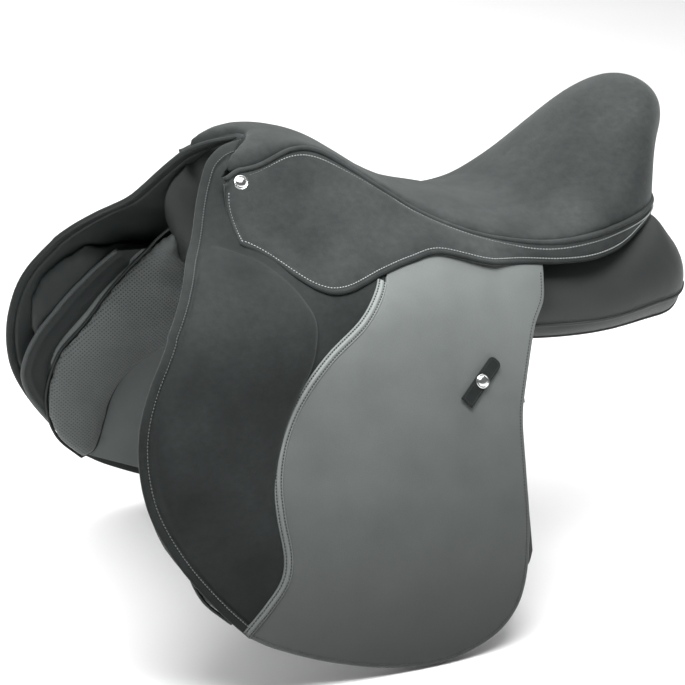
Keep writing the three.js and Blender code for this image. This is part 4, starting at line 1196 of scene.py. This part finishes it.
def on_width(width):
    def point(x, z, offset=0.0):
        x, z = np.asarray(x, float), np.asarray(z, float)
        slope = [(width(x + 1, z) - width(x - 1, z)) / 2, (width(x, z + 1) - width(x, z - 1)) / 2]
        normal = unit(np.stack([-slope[0], -np.ones_like(x), -slope[1]], -1))
        return np.stack([x, -width(x, z), z], -1) + normal * np.asarray(offset, float)[..., None]
    return point


def strap_crease(x, z, edge):
    return STRAP_HALF_THICK - 0.3 * np.exp(-((edge - 3.0) / 0.5)**2) + 0 * x


strap_point = on_width(strap_width)
STRAP_HALF, STRAP_HALF_THICK = 12.5, 1.5
HOLE_STEP, HOLE_COUNT, FIRST_HOLE = 18, 8, 28
turns = np.linspace(0, 2 * np.pi, 14, endpoint=False)
for name, x, end in zip(("front", "middle", "rear"), STRAP_CENTRES, STRAP_ENDS):
    left, right, shoulder = x - STRAP_HALF, x + STRAP_HALF, end + 14
    tip_line = [(right, shoulder), (x + STRAP_HALF * 0.6, end + 3), (x, end),
                (x - STRAP_HALF * 0.6, end + 3), (left, shoulder)]
    strap_outline = loop([(left, shoulder), (left, STRAP_TOP)], [(left, STRAP_TOP), (right, STRAP_TOP)],
                         [(right, STRAP_TOP), (right, shoulder)], tip_line, step=2.5)
    holes = [np.stack([x + 2.1 * np.cos(turns), end + FIRST_HOLE + n * HOLE_STEP + 2.6 * np.sin(turns)], 1)
             for n in range(HOLE_COUNT)]
    shape = sheet_shape(strap_outline, strap_crease, level(-STRAP_HALF_THICK), 0.9, 5.0, strap_point, holes)
    both_sides(f"strap_{name}", shape, [STRAP, LINING], "straps_#", (f"girth_strap_{name}",))
    rim = closed_line(inset(strap_outline, 3.0), 2.0)
    sewn = stitch_shape(strap_point(*rim.T, 1.45), surface_normals(*rim.T, strap_point), 3.6, 2.4, 0.36)
    both_sides(f"strap_{name}_stitches", sewn, [THREAD_DARK], "straps_#")

# the buckle guard, a flat sleeve round the three straps
GUARD_X, GUARD_Z, GUARD_HALF, GUARD_WALL = (-90.5, 18.5), (-30, 20), 3.2, 1.4
guard_point = on_width(plane_width)
reach = GUARD_HALF + GUARD_WALL / 2
half_turn = np.linspace(-np.pi / 2, np.pi / 2, 9)
around = np.array([(end_x + reach * math.cos(a), reach * math.sin(a))
                   for end_x, turned in ((GUARD_X[1], 0), (GUARD_X[0], np.pi)) for a in half_turn + turned])
rows = closed_line(around, 4.0)[:-1]
heights = np.linspace(*GUARD_Z, 14)
ring = np.stack([guard_point(rows[:, 0], np.full(len(rows), z), rows[:, 1]) for z in heights], 1)
middle = np.stack([guard_point(np.clip(rows[:, 0], *GUARD_X), np.full(len(rows), z)) for z in heights], 1)
inwards = unit(middle - ring)
ring = ring - inwards * GUARD_WALL / 2
guard = grid_shape(ring, GUARD_WALL, inwards, closed_u=True)
both_sides("guard_sleeve", guard, [STRAP, LINING], "guard_#", ("buckle_guard",))
guard_rows = []
xs = np.arange(GUARD_X[0], GUARD_X[1], 2.0)
for z in (GUARD_Z[0] + 3.5, GUARD_Z[1] - 3.5):
    zs = np.full(len(xs), z)
    path = guard_point(xs, zs, GUARD_HALF + GUARD_WALL + 0.05)
    guard_rows.append(stitch_shape(path, surface_normals(xs, zs, guard_point), 3.4, 2.3, 0.36))
both_sides("guard_stitches", merge(*guard_rows), [THREAD_DARK], "guard_#")

# ---------------------------------------------------------------- panels

PANEL_ROWS = [
    (-160, 66, 80, 0, 0), (-152, 66, 80, 22, 20), (-100, 70, 66, 31, 29), (-40, 75, 52, 42, 31),
    (20, 80, 42, 50, 34), (80, 82, 37, 52, 36), (140, 84, 39, 54, 39), (195, 82, 49, 48, 45),
    (226, 80, 50, 37, 42), (242, 78, 47, 20, 22), (250, 78, 45, 0, 0)]
panel_y, panel_z, panel_half, panel_high = (smooth_table(PANEL_ROWS, c) for c in (1, 2, 3, 4))


def panel_point(x, angle, grow=0.0):
    """Point of the left panel's surface: angle 0 is its outer side, a quarter turn is its top."""
    x, angle = np.broadcast_arrays(np.asarray(x, float), np.asarray(angle, float))
    side, high = panel_half(x), panel_high(x)
    rise = 21 * smoothstep(10, 90, x) * (1 - smoothstep(203, 229, x))
    side = np.maximum(side + grow, 0) * (side > 0)
    high = np.maximum(high + grow, 0) * (high > 0) + rise * np.clip(np.sin(angle), 0, 1)
    return np.stack([x, -panel_y(x) - side * np.cos(angle), panel_z(x) + high * np.sin(angle)], -1)


panel_start, panel_end = PANEL_ROWS[0][0], PANEL_ROWS[-1][0]
xs = panel_start + (panel_end - panel_start) * (1 - np.cos(np.linspace(0, np.pi, 90))) / 2
turns = np.linspace(0, 2 * np.pi, 48, endpoint=False)
panel_grid = panel_point(xs[None, :], turns[:, None], -2.5)
panel_soft = inflate(grid_shape(panel_grid, closed_u=True), 5.5, 3.0)
both_sides("panel_cushion", panel_soft, [PANEL], "saddle", ("panel",))
pipings, sewn = [], []
along_panel = np.linspace(-146, 244, 200)
for angle, stitch_angle in ((-0.42, -0.33), (-1.0, -1.08)):
    path, normal = drape(panel_point(along_panel, angle), panel_soft, 0.3)
    pipings.append(tube_shape(path, 1.5, normal, 8))
    path, normal = drape(panel_point(along_panel, stitch_angle), panel_soft, 0.1)
    sewn.append(stitch_shape(path, normal, 3.2, 2.2, 0.4))
both_sides("panel_piping", merge(*pipings), [PANEL], "saddle")
both_sides("panel_stitches", merge(*sewn), [THREAD_DARK], "saddle")

# ---------------------------------------------------------------- arch lining and the facing in front

arch_half = [(-100, 62), (-92, 89), (-78, 117), (-56, 146), (-30, 165)]
arch_knots = arch_half + [(0, 172)] + [(-y, z) for y, z in arch_half[::-1]]
arch_line = spline(arch_knots, 2.0)


def arch_points(x, offset, low):
    """The arch's centre line at a depth under it, for heights above low, at one x."""
    line = shifted(arch_line, offset)[arch_line[:, 1] >= low]
    return np.stack([np.full(len(line), x), line[:, 0], line[:, 1]], 1)


stations = [
    (-207.0, -9.2), (-206.0, -10.4), (-203.0, -11.0), (-196, -11.3), (-188, -11.3), (-180, -11.0),
    (-173, -10.4), (-170.5, -9.2)]
lining = np.stack([arch_points(x, d, 112) for x, d in stations], 1)
inwards = np.stack([arch_points(x, d + 1.0, 112) for x, d in stations], 1) - lining
arch_soft = inflate(grid_shape(lining, 2.2, inwards), 2.2, 0.8, pressure=2.0)
add_piece("arch_padding", arch_soft, [LINING], 1, "saddle", ("arch_lining",))

# the leather that closes the front, from the arch to the flap's head and down to the knee pad
inner_line = arch_points(-205.5, -10.5, 62)
inner_line = resample(inner_line[len(inner_line) // 2:] * (1, -1, 1), 2.0)
# head of the flap, then x, z and depth under the side surface down to the knee pad
head_points = [(-184, 0, 206), (-189, -16, 205), (-202, -32, 199), (-217, -46, 190)]
side_places = [
    (-229, 175, -6), (-237, 158, -7), (-238, 138, -9), (-230, 122, -17), (-221, 112, -27),
    (-211, 96, -29), (-202, 80, -29), (-196, 66, -29)]
outer_line = spline(head_points + [tuple(side_point(*at)) for at in side_places], 2.0)


def spread(line, count=90):
    """The line's points at even steps of their number."""
    at = np.linspace(0, len(line) - 1, count)
    return np.stack([np.interp(at, np.arange(len(line)), line[:, k]) for k in range(3)], 1)


ends = [spread(inner_line), spread(outer_line)]
across = np.linspace(0, 1, 14)
facing = ends[0][:, None] * (1 - across)[None, :, None] + ends[1][:, None] * across[None, :, None]
facing[..., 0] -= 5 * np.sin(across * np.pi)[None, :]
inwards = np.broadcast_to([1.0, 0, 0], facing.shape)
both_sides("front_facing", grid_shape(facing, 2.0, inwards), [LINING, LINING], "saddle")

# ---------------------------------------------------------------- looks of the CAD pieces that stay

KEPT = {
    "tree": POLYMER, "gullet_plate": STEEL, "girth_web_front": WEBBING, "girth_web_rear": WEBBING,
    **{f"gullet_screw_{side}_{place}": STEEL for side in SIDES for place in ("upper", "lower")},
    **{f"{part}_{side}": STEEL for side in SIDES for part in (
        "stirrup_bar", "bar_catch", "catch_pin", "bar_rivet_front", "bar_rivet_rear", "keeper_post")}}
for node, look in KEPT.items():
    mesh = NODES[node].data
    mesh.materials.clear()
    mesh.materials.append(look)

# ---------------------------------------------------------------- floor

FLOOR_REACH = 6000
corners = [(x * FLOOR_REACH, y * FLOOR_REACH, FLOOR_Z / MM) for x, y in ((-1, -1), (1, -1), (1, 1), (-1, 1))]
pale = Look("floor_pale")
pale.tint((0.9, 0.9, 0.9), pale.remap(pale.noise(3, 2), 0.3, 0.7, 0.99, 1.0))
pale.rough(pale.remap(pale.noise(8, 2), 0, 1, 0.9, 1.0))
floor = make_object("floor", corners, [(0, 1, 2, 3)], [pale.set(Specular_IOR_Level=0.1)], smooth=False)
